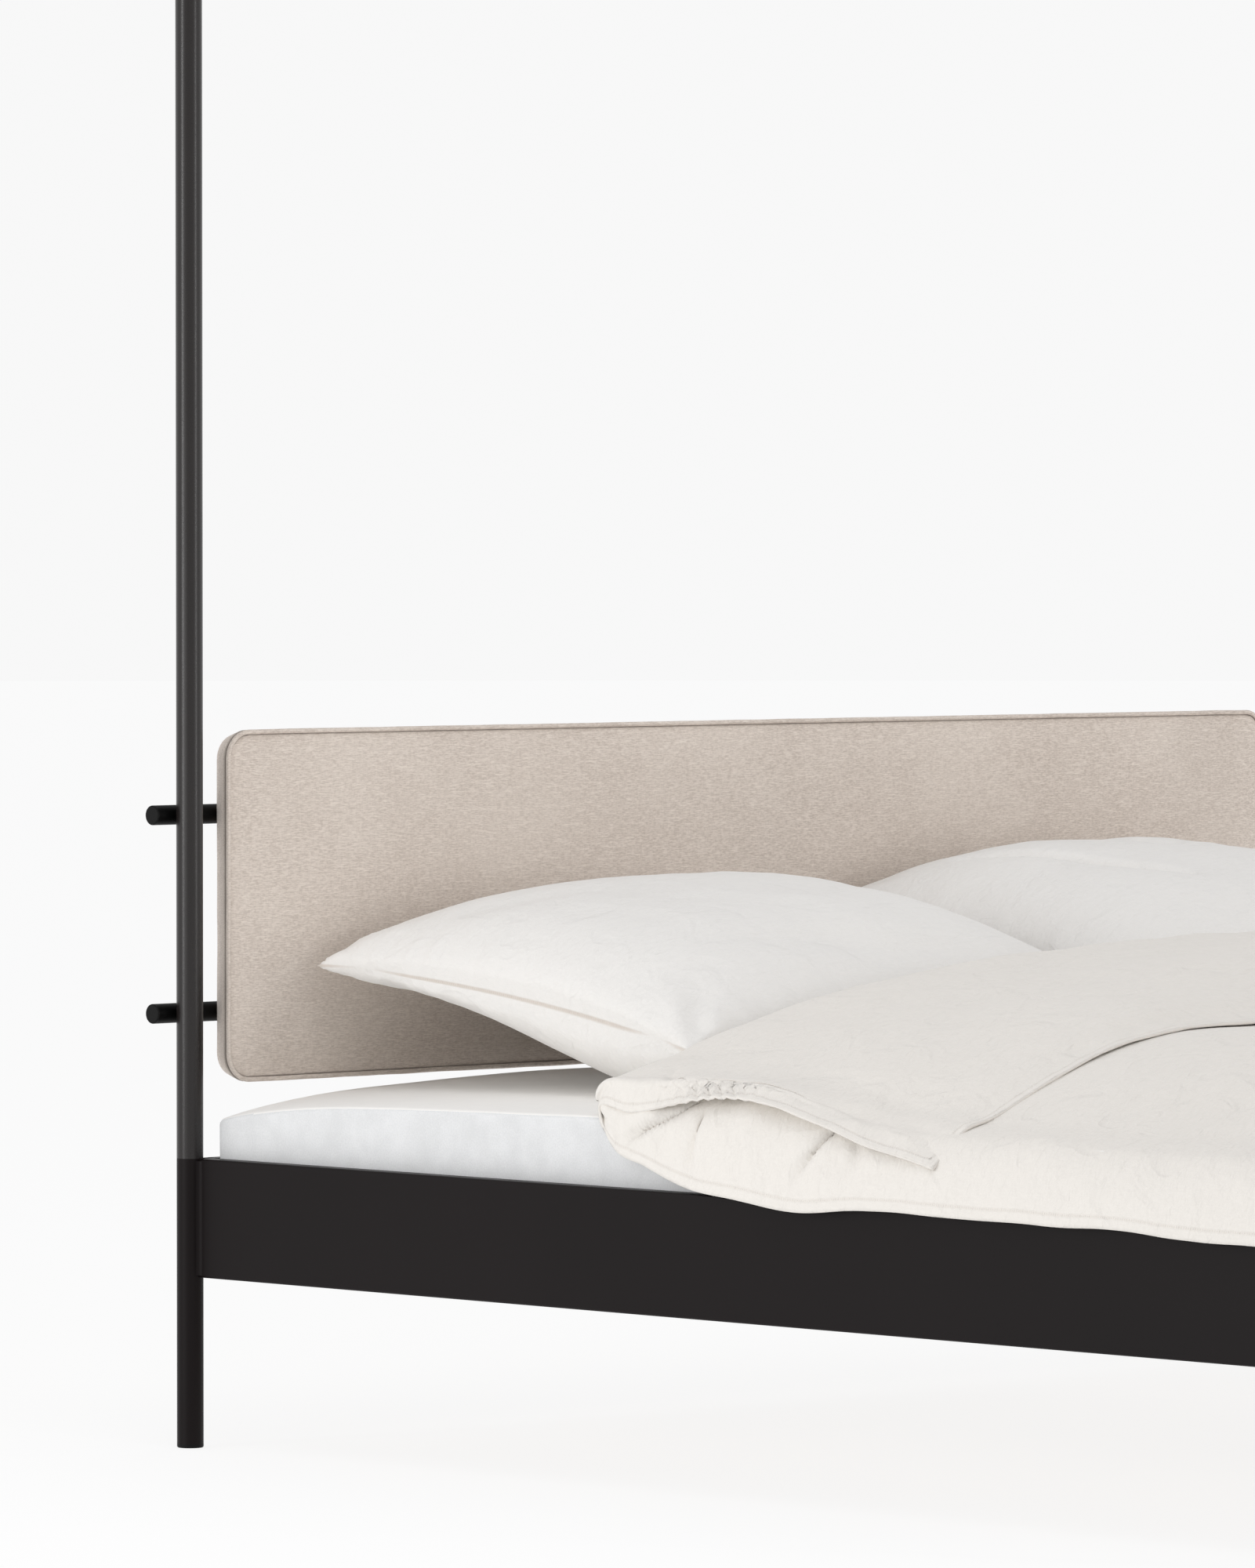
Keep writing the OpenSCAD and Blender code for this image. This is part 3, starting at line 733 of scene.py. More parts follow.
def board_cushion(sizes, cloth):
    """The headboard's pad: crowned in front, rounded at the rim, hollow behind for its board."""
    low, high = CUSHION_LOW, CUSHION_HIGH
    pocket = (PANEL_LOW[0] - low[0] - POCKET_ROOM, PANEL_HIGH[1] - PANEL_LOW[1] + POCKET_ROOM)
    made = slab("HeadboardPad", low, high, BOARD_CORNER, sizes.board_edge, pocket, 150, 36)
    points = co_of(made)
    inside = outline_distance(points[:, 0], points[:, 2], low, high, BOARD_CORNER)
    front = smooth_step((high[1] - 0.014 - points[:, 1]) / 0.008)
    swell = sizes.board_crown * smooth_step(np.clip(inside, 0, None) / 0.05)
    swell += 0.0012 * lumps(points[:, [0, 2]], 7.0, 2) * smooth_step(inside / 0.05)
    # the sewn seam beside the piping draws the face in a little
    seam = bell(inside, sizes.piping_inset + 0.0035, 0.0035)
    points[:, 1] += front * (0.0016 * seam - swell)
    # the cover curves in towards the back, and its edge wanders a little
    centre, half = (low + high) / 2, (high - low) / 2
    away = points - centre
    past = np.maximum(np.abs(away) - (half - BOARD_CORNER * 1.001), 0) * np.array([1, 0, 1])
    out = np.sign(away) * past / np.maximum(np.linalg.norm(past, axis=1, keepdims=True), 1e-9)
    back = smooth_step((points[:, 1] - low[1] - 0.008) / (high[1] - low[1] - 0.008))
    rim = smooth_step(1 - np.abs(inside) / 0.008)
    wander = 0.0008 * (1 + lumps(points[:, [0, 2]], 16.0, 5))
    points -= out * (rim * (0.0062 * back**1.5 + wander))[:, None]
    set_co(made, points)
    outward(made)
    across = np.hypot(inside - sizes.piping_inset, 0.6 * np.clip(points[:, 1] - low[1], 0, 1))
    set_hem(made, np.column_stack([across, points[:, 0] + points[:, 2]]))
    surface(made, cloth)
    return made


def piping(sizes, cloth):
    """A corded seam round the front of the headboard."""
    low, high = CUSHION_LOW, CUSHION_HIGH
    inset = sizes.piping_inset
    r = BOARD_CORNER - inset
    x0, x1, z0, z1 = low[0] + inset, high[0] - inset, low[2] + inset, high[2] - inset
    points = []
    for cx, cz, start in (
        (x1 - r, z1 - r, 0), (x0 + r, z1 - r, 90), (x0 + r, z0 + r, 180), (x1 - r, z0 + r, 270),
    ):
        for k in range(13):
            a = math.radians(start + 90 * k / 12)
            points.append(np.array([cx + r * math.cos(a), 0.0, cz + r * math.sin(a)]))
    closed = points + [points[0]]
    fine = []
    for a, b in zip(closed[:-1], closed[1:]):
        count = max(1, int(np.linalg.norm(b - a) / 0.02))
        fine += [a + (b - a) * k / count for k in range(count)]
    curve = bpy.data.curves.new("HeadboardPiping", "CURVE")
    curve.dimensions = "3D"
    curve.bevel_depth = sizes.piping
    curve.bevel_resolution = 3
    line = curve.splines.new("POLY")
    line.points.add(len(fine) - 1)
    for k, p in enumerate(fine):
        wave = 0.0007 * noise.noise(Vector(p) * 19.0)
        line.points[k].co = (p[0], low[1] - 0.0004 + wave, p[2] + 0.8 * wave, 1.0)
    line.use_cyclic_u = True
    made = bpy.data.objects.new("HeadboardPiping", curve)
    bpy.context.scene.collection.objects.link(made)
    clear_selection()
    made.select_set(True)
    bpy.context.view_layer.objects.active = made
    bpy.ops.object.convert(target="MESH")
    made = bpy.context.object
    outward(made)
    surface(made, cloth)
    return made


class BED_OT_headboard(bpy.types.Operator):
    """Make the headboard's pad with its piped seam, in place of the plain cushion"""

    bl_idname = "bed.headboard"
    bl_label = "Headboard"
    bl_options = {"REGISTER", "UNDO"}

    def execute(self, context):
        sizes, colours = context.scene.bed_sizes, context.scene.bed_colours
        cloth = headboard_cloth(colours, sizes.piping)
        pad = board_cushion(sizes, cloth)
        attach(pad, "headboard")
        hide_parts("headboard_cushion")
        seam = piping(sizes, cloth)
        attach(seam, "headboard")
        return {"FINISHED"}


# ---- mattress ----


# how far the top falls towards its edges and its corners, and swells in the middle
SHOULDER_DROP = 0.002
CORNER_DROOP = 0.032
TOP_SWELL = 0.010


def mattress_top(x, y):
    """Height of the mattress's upper side."""
    high = MATTRESS_HIGH
    from_side = np.clip(high[0] - np.abs(x), 0, None)
    from_end = np.clip(high[1] - np.abs(y), 0, None)
    edge = np.minimum(from_side, from_end)
    drop = SHOULDER_DROP * np.exp(-edge / 0.03)
    droop = CORNER_DROOP * np.exp(-(from_side + from_end) / 0.13)
    swell = TOP_SWELL * smooth_step((from_side + 0.4 * from_end) / 0.6)
    return high[2] - drop - droop + swell


class BED_OT_mattress(bpy.types.Operator):
    """Make the soft mattress, in place of the plain block"""

    bl_idname = "bed.mattress"
    bl_label = "Mattress"
    bl_options = {"REGISTER", "UNDO"}

    def execute(self, context):
        sizes, colours = context.scene.bed_sizes, context.scene.bed_colours
        low, high = MATTRESS_LOW, MATTRESS_HIGH
        made = block("MattressBody", low, high)
        pick_edges(made, lambda a, b: abs(a.z - b.z) > 1e-4)
        bpy.ops.mesh.bevel(offset=sizes.mattress_corner, segments=8, profile=0.5)
        pick_edges(made, lambda a, b: abs(a.z - b.z) < 1e-5)
        bpy.ops.mesh.bevel(offset=sizes.shoulder, segments=6, profile=0.5)
        near = np.array([0.004, 0.008, 0.013, 0.02, 0.03, 0.045, 0.065])
        for axis in (0, 1):
            even = np.linspace(low[axis], high[axis], 50)[2:-2]
            for place_at in np.concatenate([low[axis] + near, even, high[axis] - near]):
                cut_across(axis, place_at)
        for at in (0.30, 0.45, 0.6):
            cut_across(2, low[2] + (high[2] - low[2]) * at)
        bpy.ops.object.mode_set(mode="OBJECT")
        points = co_of(made)
        up = smooth_step((points[:, 2] - low[2] - 0.09) / (high[2] - low[2] - 0.09))
        # the top side's own rise and droop, then sides that aren't quite flat
        points[:, 2] += up * (mattress_top(points[:, 0], points[:, 1]) - high[2])
        side = 0.0012 * lumps(points, 5.0, 3) * (1 - smooth_step((points[:, 2] - high[2] + 0.02) / 0.02))
        for axis in (0, 1):
            points[:, axis] -= np.sign(points[:, axis]) * np.abs(side) * (
                np.abs(points[:, axis]) > high[axis] - 0.03
            )
        points[:, 2] += 0.0015 * up * lumps(points[:, :2], 4.0, 4)
        # the two ends stand out a little, up to the end rails
        points[:, 1] += 0.003 * smooth_step((np.abs(points[:, 1]) - 0.9) / 0.09) * np.sign(points[:, 1])
        set_co(made, points)
        outward(made)
        surface(
            made,
            knit("Mattress side cloth", colours.side, 0.10),
            knit("Mattress top cloth", colours.top, 0.04),
        )
        for face in made.data.polygons:
            face.material_index = int(face.normal.z > 0.72)
        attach(made, "mattress")
        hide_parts("mattress")
        return {"FINISHED"}


# ---- pillows ----


def pillow(name, shape, seed, cloth):
    """A pillow whose back leans on the headboard and whose front lies on the mattress."""
    steps = spread(2.0, (0.008, 0.012, 0.016, 0.022), 0.0175) - 1.0
    u, v = np.meshgrid(steps, steps)
    (x0, x1), (y0, y1) = shape["across"], shape["along"]
    # sides pull in between the corners
    side_pull, end_pull = shape["pull"]
    x = (x0 + x1) / 2 + u * ((x1 - x0) / 2 - side_pull * (1 - v**2) * np.abs(u) ** 3)
    y = (y0 + y1) / 2 + v * ((y1 - y0) / 2 - end_pull * (1 - u**2) * np.abs(v) ** 3)
    t = (v + 1) / 2
    front, back = shape["seam"]
    seam = front + (back - front) * (1 - (1 - t) ** 1.35) + shape["tilt"] * (u + 1) / 2
    seam = seam - 0.012 * (1 - u**2) * (1 - v**2)
    full = ((1 - np.abs(u) ** 2.4) * (1 - np.abs(v) ** 2.4)) ** 0.5
    grid = np.stack([x, y], axis=2)
    soft = 0.009 * lumps(grid, 4.2, seed) * full + 0.0022 * lumps(grid, 13.0, seed + 1) * full
    # puckers run in from the seam and fade, strongest beside the corners
    from_u, from_v = (1 - np.abs(u)) * 0.4, (1 - np.abs(v)) * 0.35
    edge = np.minimum(from_u, from_v)
    along = np.where(from_u < from_v, y, x + 5.0)
    pucker = lumps(np.stack([along, edge * 0.12], axis=2), 34.0, seed + 3)
    pucker = pucker * (np.exp(-((edge / 0.045) ** 2)) - np.exp(-((edge / 0.006) ** 2)))
    corner = np.hypot(from_u, from_v)
    rays = np.sin(np.arctan2(from_v, from_u) * 8 + 1.3 * seed) * bell(corner, 0.075, 0.05)
    top = seam + (shape["height"] * full + soft + 0.0032 * pucker + 0.0045 * rays)
    for start, finish, width, depth in shape["creases"]:
        top -= depth * crease(u, v, start, finish, width, 0.04)
    # the underside hangs lowest at the front, and there most in the middle
    sag = 0.04 + 0.085 * (1 - smooth_step((t - 0.15) / 0.75))
    sag = sag + 0.05 * (1 - smooth_step(t / 0.6)) * (1 - u**2) ** 2
    under = seam - sag * full**0.8 - 0.5 * soft - 0.0026 * pucker - 0.003 * rays
    rest = mattress_top(x, y) + 0.0015
    under = rest + 0.008 * np.log1p(np.exp(np.minimum((under - rest) / 0.008, 30.0)))
    top = np.maximum(top, under + 0.0008)
    # both faces swell out past the sewn edge, which stays in a groove
    faces = []
    for z, lip in ((top + 0.0006, 0.009), (under - 0.0006, 0.007)):
        rise = np.abs(z - seam)
        out = lip * smooth_step(rise / 0.016) * np.exp(-((edge / 0.030) ** 2)) * (1 + 0.35 * pucker)
        beside_u = smooth_step(0.5 + (from_v - from_u) / 0.04)
        faces.append(np.stack([
            x + np.sign(u) * out * beside_u, y + np.sign(v) * out * (1 - beside_u), z
        ], axis=2))
    sewn = np.hypot(edge, np.abs(top - seam))
    made = two_sided(name, faces[0], faces[1], np.stack([sewn, along], axis=2))
    made.data.materials.append(cloth)
    return made


# each pillow: its outline on the bed, how far its sides and ends draw in, the seam's height
# at the front and at the back, the seam's rise to the right, and how far the top swells;
# creases go by start, finish, width and depth, from -1 to 1 over the pillow
PILLOWS = {
    "left": {
        "across": (-0.845, 0.0), "along": (0.30, 0.975), "pull": (0.042, 0.02),
        "seam": (0.520, 0.603), "tilt": 0.012, "height": 0.140,
        "creases": (
            ((-0.55, -0.55), (0.35, -0.80), 0.10, 0.010),
            ((0.55, -0.30), (0.92, -0.85), 0.07, 0.009),
            ((-0.85, 0.55), (-0.45, 0.30), 0.08, 0.006),
        ),
    },
    "right": {
        "across": (0.02, 0.845), "along": (0.30, 0.98), "pull": (0.035, 0.02),
        "seam": (0.520, 0.632), "tilt": 0.0, "height": 0.150,
        "creases": (
            ((-0.62, 0.55), (-0.25, -0.25), 0.038, 0.027),
            ((-0.10, 0.75), (0.15, 0.20), 0.042, 0.018),
            ((0.55, 0.70), (0.35, 0.10), 0.06, 0.013),
        ),
    },
}


class BED_OT_pillows(bpy.types.Operator):
    """Make the two pillows, in place of the plain blocks"""

    bl_idname = "bed.pillows"
    bl_label = "Pillows"
    bl_options = {"REGISTER", "UNDO"}

    def execute(self, context):
        colours = context.scene.bed_colours
        # the last number sets the painted shade in the pillow's seam groove
        cloth = cotton("Pillow cotton", colours.pillow, 1300.0, 0.03, 0.5, (0.0,), 0.0034, 0.75)
        for seed, side in ((4, "left"), (9, "right")):
            made = pillow("Pillow_" + side, PILLOWS[side], seed, cloth)
            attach(made, "pillow_" + side)
            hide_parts("pillow_" + side)
        return {"FINISHED"}


# ---- duvet ----

# the left hem, from the foot, round the fold, to the turned-back corner:
# distance along the cloth, then across, along and above the floor
LEFT_HEM = np.array([
    (0.0, -1.034, -0.982, 0.362), (0.09, -1.036, -0.895, 0.354), (0.39, -1.037, -0.60, 0.358),
    (0.60, -1.036, -0.40, 0.360), (0.81, -1.036, -0.187, 0.360), (0.93, -1.036, -0.067, 0.354),
    (1.02, -1.032, 0.026, 0.3645), (1.11, -1.022, 0.110, 0.369), (1.155, -1.014, 0.152, 0.3765),
    (1.215, -1.013, 0.202, 0.393), (1.275, -1.009, 0.255, 0.409), (1.315, -1.006, 0.284, 0.440),
    (1.345, -1.005, 0.288, 0.4615), (1.40, -1.007, 0.234, 0.457), (1.47, -1.008, 0.169, 0.466),
    (1.595, -1.008, 0.048, 0.481), (1.74, -1.020, -0.096, 0.458), (1.84, -1.025, -0.196, 0.433),
    (1.94, -1.026, -0.293, 0.4145),
])
ROWS = LEFT_HEM[:, 0]
# the row where the cloth starts to turn back
TURN = 9
# the way the cloth leaves its hem: inwards, along and up
LEAVING = np.array(
    [(0.05, 0, 1)] * 7
    + [(0.06, 0, 1), (0.06, 0, 1), (0.06, 0.02, 1), (0.12, 0.08, 1), (0.4, 0.3, 0.6), (0.5, 0.1, 0.7)]
    + [(0.15, 0, 1), (0.5, 0, 0.75), (0.9, 0, 0.35), (0.8, 0, 0.45), (0.7, 0, 0.65), (0.75, 0, 0.55)]
)
# across the cloth: its overhang at the side, the bed's middle, and the columns between
SKIRT = 0.115
CENTRE = 1.081
COLUMNS = [SKIRT, 0.15, 0.20, 0.26, 0.34, 0.46, 0.62, 0.82, CENTRE]
# how far towards the head the fold reaches
FOLD_FRONT = 0.312
# along the cloth: the middle of the fold, and what lies under the flap's end
FOLD_LINE = 1.345
UNDER_FLAP_END = 0.705
# how far the cloth runs on from its hem, and back from its full part, before it bends
HEM_REACH = 0.045
FULL_REACH = 0.036
# thickness of the two cloths where they are sewn together
SEWN = 0.0035
# pleats: start and finish, each as (in from the side, along the cloth), then depth and width
PLEATS = (
    ((0.018, 1.250), (0.100, 1.142), 0.012, 0.0048),
    ((0.016, 1.128), (0.095, 1.118), 0.010, 0.0080),
    ((0.034, 0.928), (0.094, 0.880), 0.014, 0.0048),
    ((0.030, 0.830), (0.130, 0.870), 0.005, 0.0090),
    ((0.060, 1.480), (0.160, 1.400), 0.005, 0.0100),
)


def past_fold(y):
    """0 beside the fold, 1 further towards the foot."""
    return smooth_step((0.06 - y) / 0.24)


def duvet_column(e, sizes):
    """Middle line and thickness of the folded duvet at a distance in from its left hem."""
    x = e - CENTRE
    hem_y = LEFT_HEM[:, 2]
    base = mattress_top(x, hem_y) + 0.001
    rise = 0.208 * (1 - math.exp(-(x + 1.045) / 0.36)) + 0.014 * math.exp(-(((x + 0.965) / 0.06) ** 2))
    fold_top = MATTRESS_HIGH[2] + rise
    half = (fold_top - base) / 2
    # a layer is thin beside its hem, and thinner still on the flap
    thin = 0.026 - 0.011 * past_fold(hem_y)
    layer = thin + (half - thin) * float(smooth_step((e - SKIRT) / 0.085))
    swelling = math.sin(math.pi / 2 * min(1.0, max(0.0, e - 0.11) / 0.42)) ** 1.1
    free = max(0.006, sizes.duvet_thickness * swelling)
    pressed = smooth_step((hem_y + 0.27) / 0.27)
    thick = free * (1 - pressed) + layer * pressed
    y = hem_y.copy()
    z = base + thick / 2
    # round the fold
    bend = half - layer / 2
    for k, angle in ((TURN, -90), (TURN + 1, -50), (TURN + 2, 0), (TURN + 3, 45), (TURN + 4, 90)):
        a = math.radians(angle)
        y[k] = FOLD_FRONT - half[k] + bend[k] * math.cos(a)
        z[k] = base[k] + half[k] + bend[k] * math.sin(a)
    y[TURN] = min(y[TURN], 0.212)
    y[TURN + 4] = min(y[TURN + 4], 0.238)
    # the turned-back part lies on the part under it, and thins towards its hem
    over = np.array([layer[TURN + 5], layer[-4], 0.85 * layer[-3], 0.5 * layer[-2], 0.009])
    low = np.where(hem_y[-5:] < -0.27, free, free * (1 - pressed[-5:]) + layer[-5:] * pressed[-5:])
    thick[-5:] = over
    z[-5:] = base[-5:] + low + over / 2 - 0.0015
    drop = 0.030 * past_fold(hem_y[-5:-2]) * float(1 - smooth_step((e - SKIRT) / 0.11))
    z[-5:-2] = np.maximum(z[-5:-2], fold_top - drop - over[:3] / 2 - 0.004)
    # thin at the foot's hem
    thick[0], z[0] = 0.006, base[0] - 0.010 + 0.15 * free
    thick[1] *= 0.8
    return np.column_stack([np.full(len(y), x), y, z]), thick


def duvet_keys(sizes):
    """Lines along the duvet from its left hem to its right one, and their thicknesses."""
    inner, depth = duvet_column(SKIRT, sizes)
    hem = LEFT_HEM[:, 1:]
    way = LEAVING / np.linalg.norm(LEAVING, axis=1, keepdims=True)
    slope = np.where(np.arange(len(hem)) > TURN + 4, 0.5, 0.0) * past_fold(hem[:, 1])
    into = np.column_stack([np.full(len(hem), FULL_REACH), np.zeros(len(hem)), FULL_REACH * slope])
    at, lines, thick = [], [], []
    for s in (0.0, 0.25, 0.5, 0.75):
        first, last = hem + HEM_REACH * way, inner - into
        line = (1 - s) ** 3 * hem + 3 * (1 - s) ** 2 * s * first + 3 * (1 - s) * s**2 * last + s**3 * inner
        at.append(s * SKIRT)
        lines.append(line)
        thick.append(0.004 + (depth - 0.004) * s)
    for e in COLUMNS:
        line, depth = duvet_column(e, sizes)
        at.append(e)
        lines.append(line)
        thick.append(depth)
    width = 2 * CENTRE
    for k in range(len(at) - 2, -1, -1):
        at.append(width - at[k])
        lines.append(lines[k] * np.array([-1, 1, 1]))
        thick.append(thick[k])
    return np.array(at), np.array(lines), np.array(thick), width


def duvet_grid(sizes):
    """Places across and along the cloth, its width, and its middle and thickness at each."""
    at, lines, thick, width = duvet_keys(sizes)
    # fine steps at the hems, at the sides and round the mouth of the fold
    across = stepped(
        (0.016, 0.004), (0.15, 0.005), (width - 0.15, 0.0145), (width - 0.016, 0.0065), (width, 0.004)
    )
    along = stepped(
        (0.016, 0.004), (0.84, 0.014), (1.28, 0.005), (1.62, 0.0065),
        (ROWS[-1] - 0.03, 0.011), (ROWS[-1], 0.004),
    )
    grids = []
    for keys in (lines, thick):
        wide = curve_through(at, keys, across)
        grids.append(np.moveaxis(curve_through(ROWS, np.moveaxis(wide, 1, 0), along), 0, 1))
    return across, along, width, grids[0], np.maximum(grids[1], SEWN)


class BED_OT_duvet(bpy.types.Operator):
    """Make the spread duvet with its turned-back end, in place of the plain blocks"""

    bl_idname = "bed.duvet"
    bl_label = "Duvet"
    bl_options = {"REGISTER", "UNDO"}

    def execute(self, context):
        sizes, colours = context.scene.bed_sizes, context.scene.bed_colours
        across, along, width, middle, depth = duvet_grid(sizes)
        side = np.minimum(across, width - across)[:, None] + 0 * along[None, :]
        end = np.minimum(along, ROWS[-1] - along)[None, :] + 0 * across[:, None]
        edge = np.minimum(side, end)
        place_on = np.stack(np.meshgrid(across, along, indexing="ij"), axis=2)
        # the flap is plump right up to its seam beside the fold
        plump = bell(along, 1.56, 0.13)
        flat_hem = smooth_step((edge - sizes.hem * (1.4 - plump)) / (0.05 - 0.025 * plump))
        depth = SEWN + (depth - SEWN) * flat_hem
        # the two layers stay even where the flap's end lies on the one below
        calm = 1 - bell(along, ROWS[-1], 0.10) - bell(along, UNDER_FLAP_END, 0.10)
        middle[..., 2] += 0.006 * lumps(place_on, 3.2, 11) * smooth_step(side / 0.2) * calm
        middle = self.creased(middle, place_on, side)
        middle[..., 2] += 0.003 * lumps(place_on[..., ::-1], 7.0, 71) * bell(edge, 0.0, 0.03)
        normal = grid_normals(middle)
        pucker = lumps(place_on, 30.0, 51, 2) * bell(edge, 0.03, 0.03) * 0.0022
        faces = []
        for way, seed in ((1, 31), (-1, 41)):
            swell = 0.004 * lumps(place_on, 9.0, seed) * flat_hem * calm
            faces.append(middle + way * normal * (depth / 2 + swell + pucker)[..., None])
        uv = np.stack([edge, np.where(side < end, place_on[..., 1], place_on[..., 0])], axis=2)
        made = two_sided("DuvetQuilt", faces[0], faces[1], uv)
        # the last number sets the painted shade in the duvet's hem stitch groove
        made.data.materials.append(
            cotton("Duvet cotton", colours.duvet, 1300.0, 0.03, 0.55, (0.0115,), 0.0022, 0.16)
        )
        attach(made, "duvet")
        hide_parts("duvet")
        return {"FINISHED"}

    def creased(self, middle, place_on, side):
        """Adds puckers that run in from the hems, gathers beside the fold, and the pleats."""
        down = place_on[..., 1]
        normal = grid_normals(middle)
        ripple = lumps(np.stack([down, place_on[..., 0] * 0.25], axis=2), 17.0, 21)
        fade = bell(side, 0.05, 0.07) * smooth_step(side / 0.012)
        shift = (0.002 + 0.005 * bell(down, 1.36, 0.2)) * ripple * fade
        gather = bell(down, 1.54, 0.07) * bell(side, 0.02, 0.022)
        shift = shift + 0.0045 * np.sin(down * 300 + 200 * side) * gather
        for start, finish, deep, wide in PLEATS:
            pleat = crease(side, down, start, finish, wide, 0.03)
            shift = shift + deep * pleat * np.sign(FOLD_LINE - down)
        return middle + normal * shift[..., None]


# ---- slat straps ----


STRAP_WIDTH = 0.04
STRAP_THICKNESS = 0.0011
STRAP_SAG = 0.0022
SLATS = 14
# from a strap's end to the middle of the first slat
FIRST_SLAT = 0.035


class BED_OT_straps(bpy.types.Operator):
    """Make the webbing that holds the slats apart, in place of the plain tapes"""

    bl_idname = "bed.straps"
    bl_label = "Slat straps"
    bl_options = {"REGISTER", "UNDO"}

    def execute(self, context):
        cloth = tape("Webbing tape", context.scene.bed_colours.webbing)
        for side in ("left", "right"):
            low, high = box("slat_straps_" + side)
            half = STRAP_WIDTH / 2
            for which, x in (("a", low[0] + half), ("b", high[0] - half)):
                made = self.strap("Strap_" + side + "_" + which, x, low, high)
                made.data.materials.append(cloth)
                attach(made, "frame")
                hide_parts("slat_straps_" + side)
        return {"FINISHED"}

    def strap(self, name, x, low, high):
        """One tape, which hangs a little between each slat and the next."""
        y = np.linspace(low[1], high[1], 241)
        across = np.linspace(-0.5, 0.5, 7)
        grid_y, grid_a = np.meshgrid(y, across, indexing="ij")
        pitch = (high[1] - low[1] - 2 * FIRST_SLAT) / (SLATS - 1)
        phase = (grid_y - low[1] - FIRST_SLAT) / pitch
        sag = STRAP_SAG * (0.5 - 0.5 * np.cos(2 * np.pi * phase))
        sag *= smooth_step((grid_y - low[1]) / 0.08) * smooth_step((high[1] - grid_y) / 0.08)
        upper = np.stack([x + grid_a * STRAP_WIDTH, grid_y, high[2] - 0.0001 - sag], axis=2)
        lower = upper - np.array([0.0, 0.0, STRAP_THICKNESS])
        return two_sided(name, upper, lower, np.stack([grid_a * STRAP_WIDTH, grid_y], axis=2))


# ---- finishes on the frame ----

# what the black coat covers, and the warm grey one
BLACK = (
    "leg_head_left leg_head_right leg_foot_left leg_foot_right side_rail_left side_rail_right "
    "head_rail foot_rail corner_brackets rail_end_plates slat_ledge_left slat_ledge_right "
    "centre_beam beam_hangers centre_leg"
).split()
GREY = (
    "canopy_post_head_left canopy_post_head_right canopy_post_foot_left canopy_post_foot_right "
    "canopy_corner_head_left canopy_corner_head_right canopy_corner_foot_left "
    "canopy_corner_foot_right canopy_rail_left canopy_rail_right canopy_rail_head canopy_rail_foot"
).split()


class BED_OT_frame_finish(bpy.types.Operator):
    """Give the steel frame its powder coats"""

    bl_idname = "bed.frame_finish"
    bl_label = "Powder coat"
    bl_options = {"REGISTER", "UNDO"}

    def execute(self, context):
        colours = context.scene.bed_colours
        black = powder_coat("Black powder coat", colours.frame, 0.43, 0.135)
        grey = powder_coat("Warm grey powder coat", colours.post, 0.3, 0.42)
        rod = powder_coat("Rod powder coat", colours.rod, 0.5, 0.10)
        for node in BLACK:
            assign(node, black)
        for node in GREY:
            assign(node, grey)
        for node in ("headboard_rod_upper", "headboard_rod_lower"):
            assign(node, rod)
        return {"FINISHED"}


class BED_OT_fittings_finish(bpy.types.Operator):
    """Give the fixings, hooks and plastic parts their finishes"""

    bl_idname = "bed.fittings_finish"
    bl_label = "Fittings"
    bl_options = {"REGISTER", "UNDO"}

    def execute(self, context):
        black = context.scene.bed_colours.plastic
        plastic = powder_coat("Black moulded plastic", black, 0.5, 0.16, 1800.0, (0.2, 0.00015))
        for node in ("foot_glides", "centre_leg_glide", "rod_end_caps"):
            assign(node, plastic)
        zinc = steel("Zinc plated steel", (0.80, 0.80, 0.81), 0.38)
        for node in ("rail_bolts", "hook_screws"):
            assign(node, zinc)
        assign("post_spigots", steel("Drawn steel", (0.50, 0.50, 0.51), 0.42, (240.0, 240.0, 4.0)))
        oxide = steel("Black oxide steel", (0.045, 0.045, 0.048), 0.4)
        for node in ("spigot_screws", "canopy_screws", "rod_screws"):
            assign(node, oxide)
        assign("headboard_hooks", powder_coat("Hook powder coat", (0.06, 0.06, 0.062), 0.45, 0.4))
        return {"FINISHED"}


class BED_OT_wood_finish(bpy.types.Operator):
    """Give the slats and the headboard's panel their wood"""

    bl_idname = "bed.wood_finish"
    bl_label = "Wood"
    bl_options = {"REGISTER", "UNDO"}

    def execute(self, context):
        wood = context.scene.bed_colours.wood
        slat = timber("Slat wood", wood)
        for node in ("slats_left", "slats_right"):
            assign(node, slat)
        assign("headboard_panel", timber("Plywood", tuple(0.85 * c for c in wood)))
        return {"FINISHED"}


# ---- stage ----


CAMERA_AT = Vector((-9.0505, -8.1246, 1.1628))
CAMERA_TURN = (math.radians(90 - 1.538), 0.0, math.radians(-43.884))
CAMERA_LENS = 221.92
FLOOR_GLOW = 0.84
# each lamp: its name, where it is, what it points at, its width, height and power
LAMPS = (
    ("Overhead softbox", (-2.2, -1.6, 5.6), (0.0, 0.5, 0.5), 3.0, 2.4, 45.0),
    ("Low left light", (-4.5, 0.35, 0.85), (-0.8, 0.9, 0.5), 1.6, 0.7, 6.0),
    ("Left strip light", (-5.6, 1.7, 1.5), (-1.0, 1.0, 1.2), 0.6, 2.6, 52.0),
    ("Right strip light", (1.5, -6.5, 1.6), (-0.5, 0.5, 1.2), 0.4, 2.6, 56.0),
)


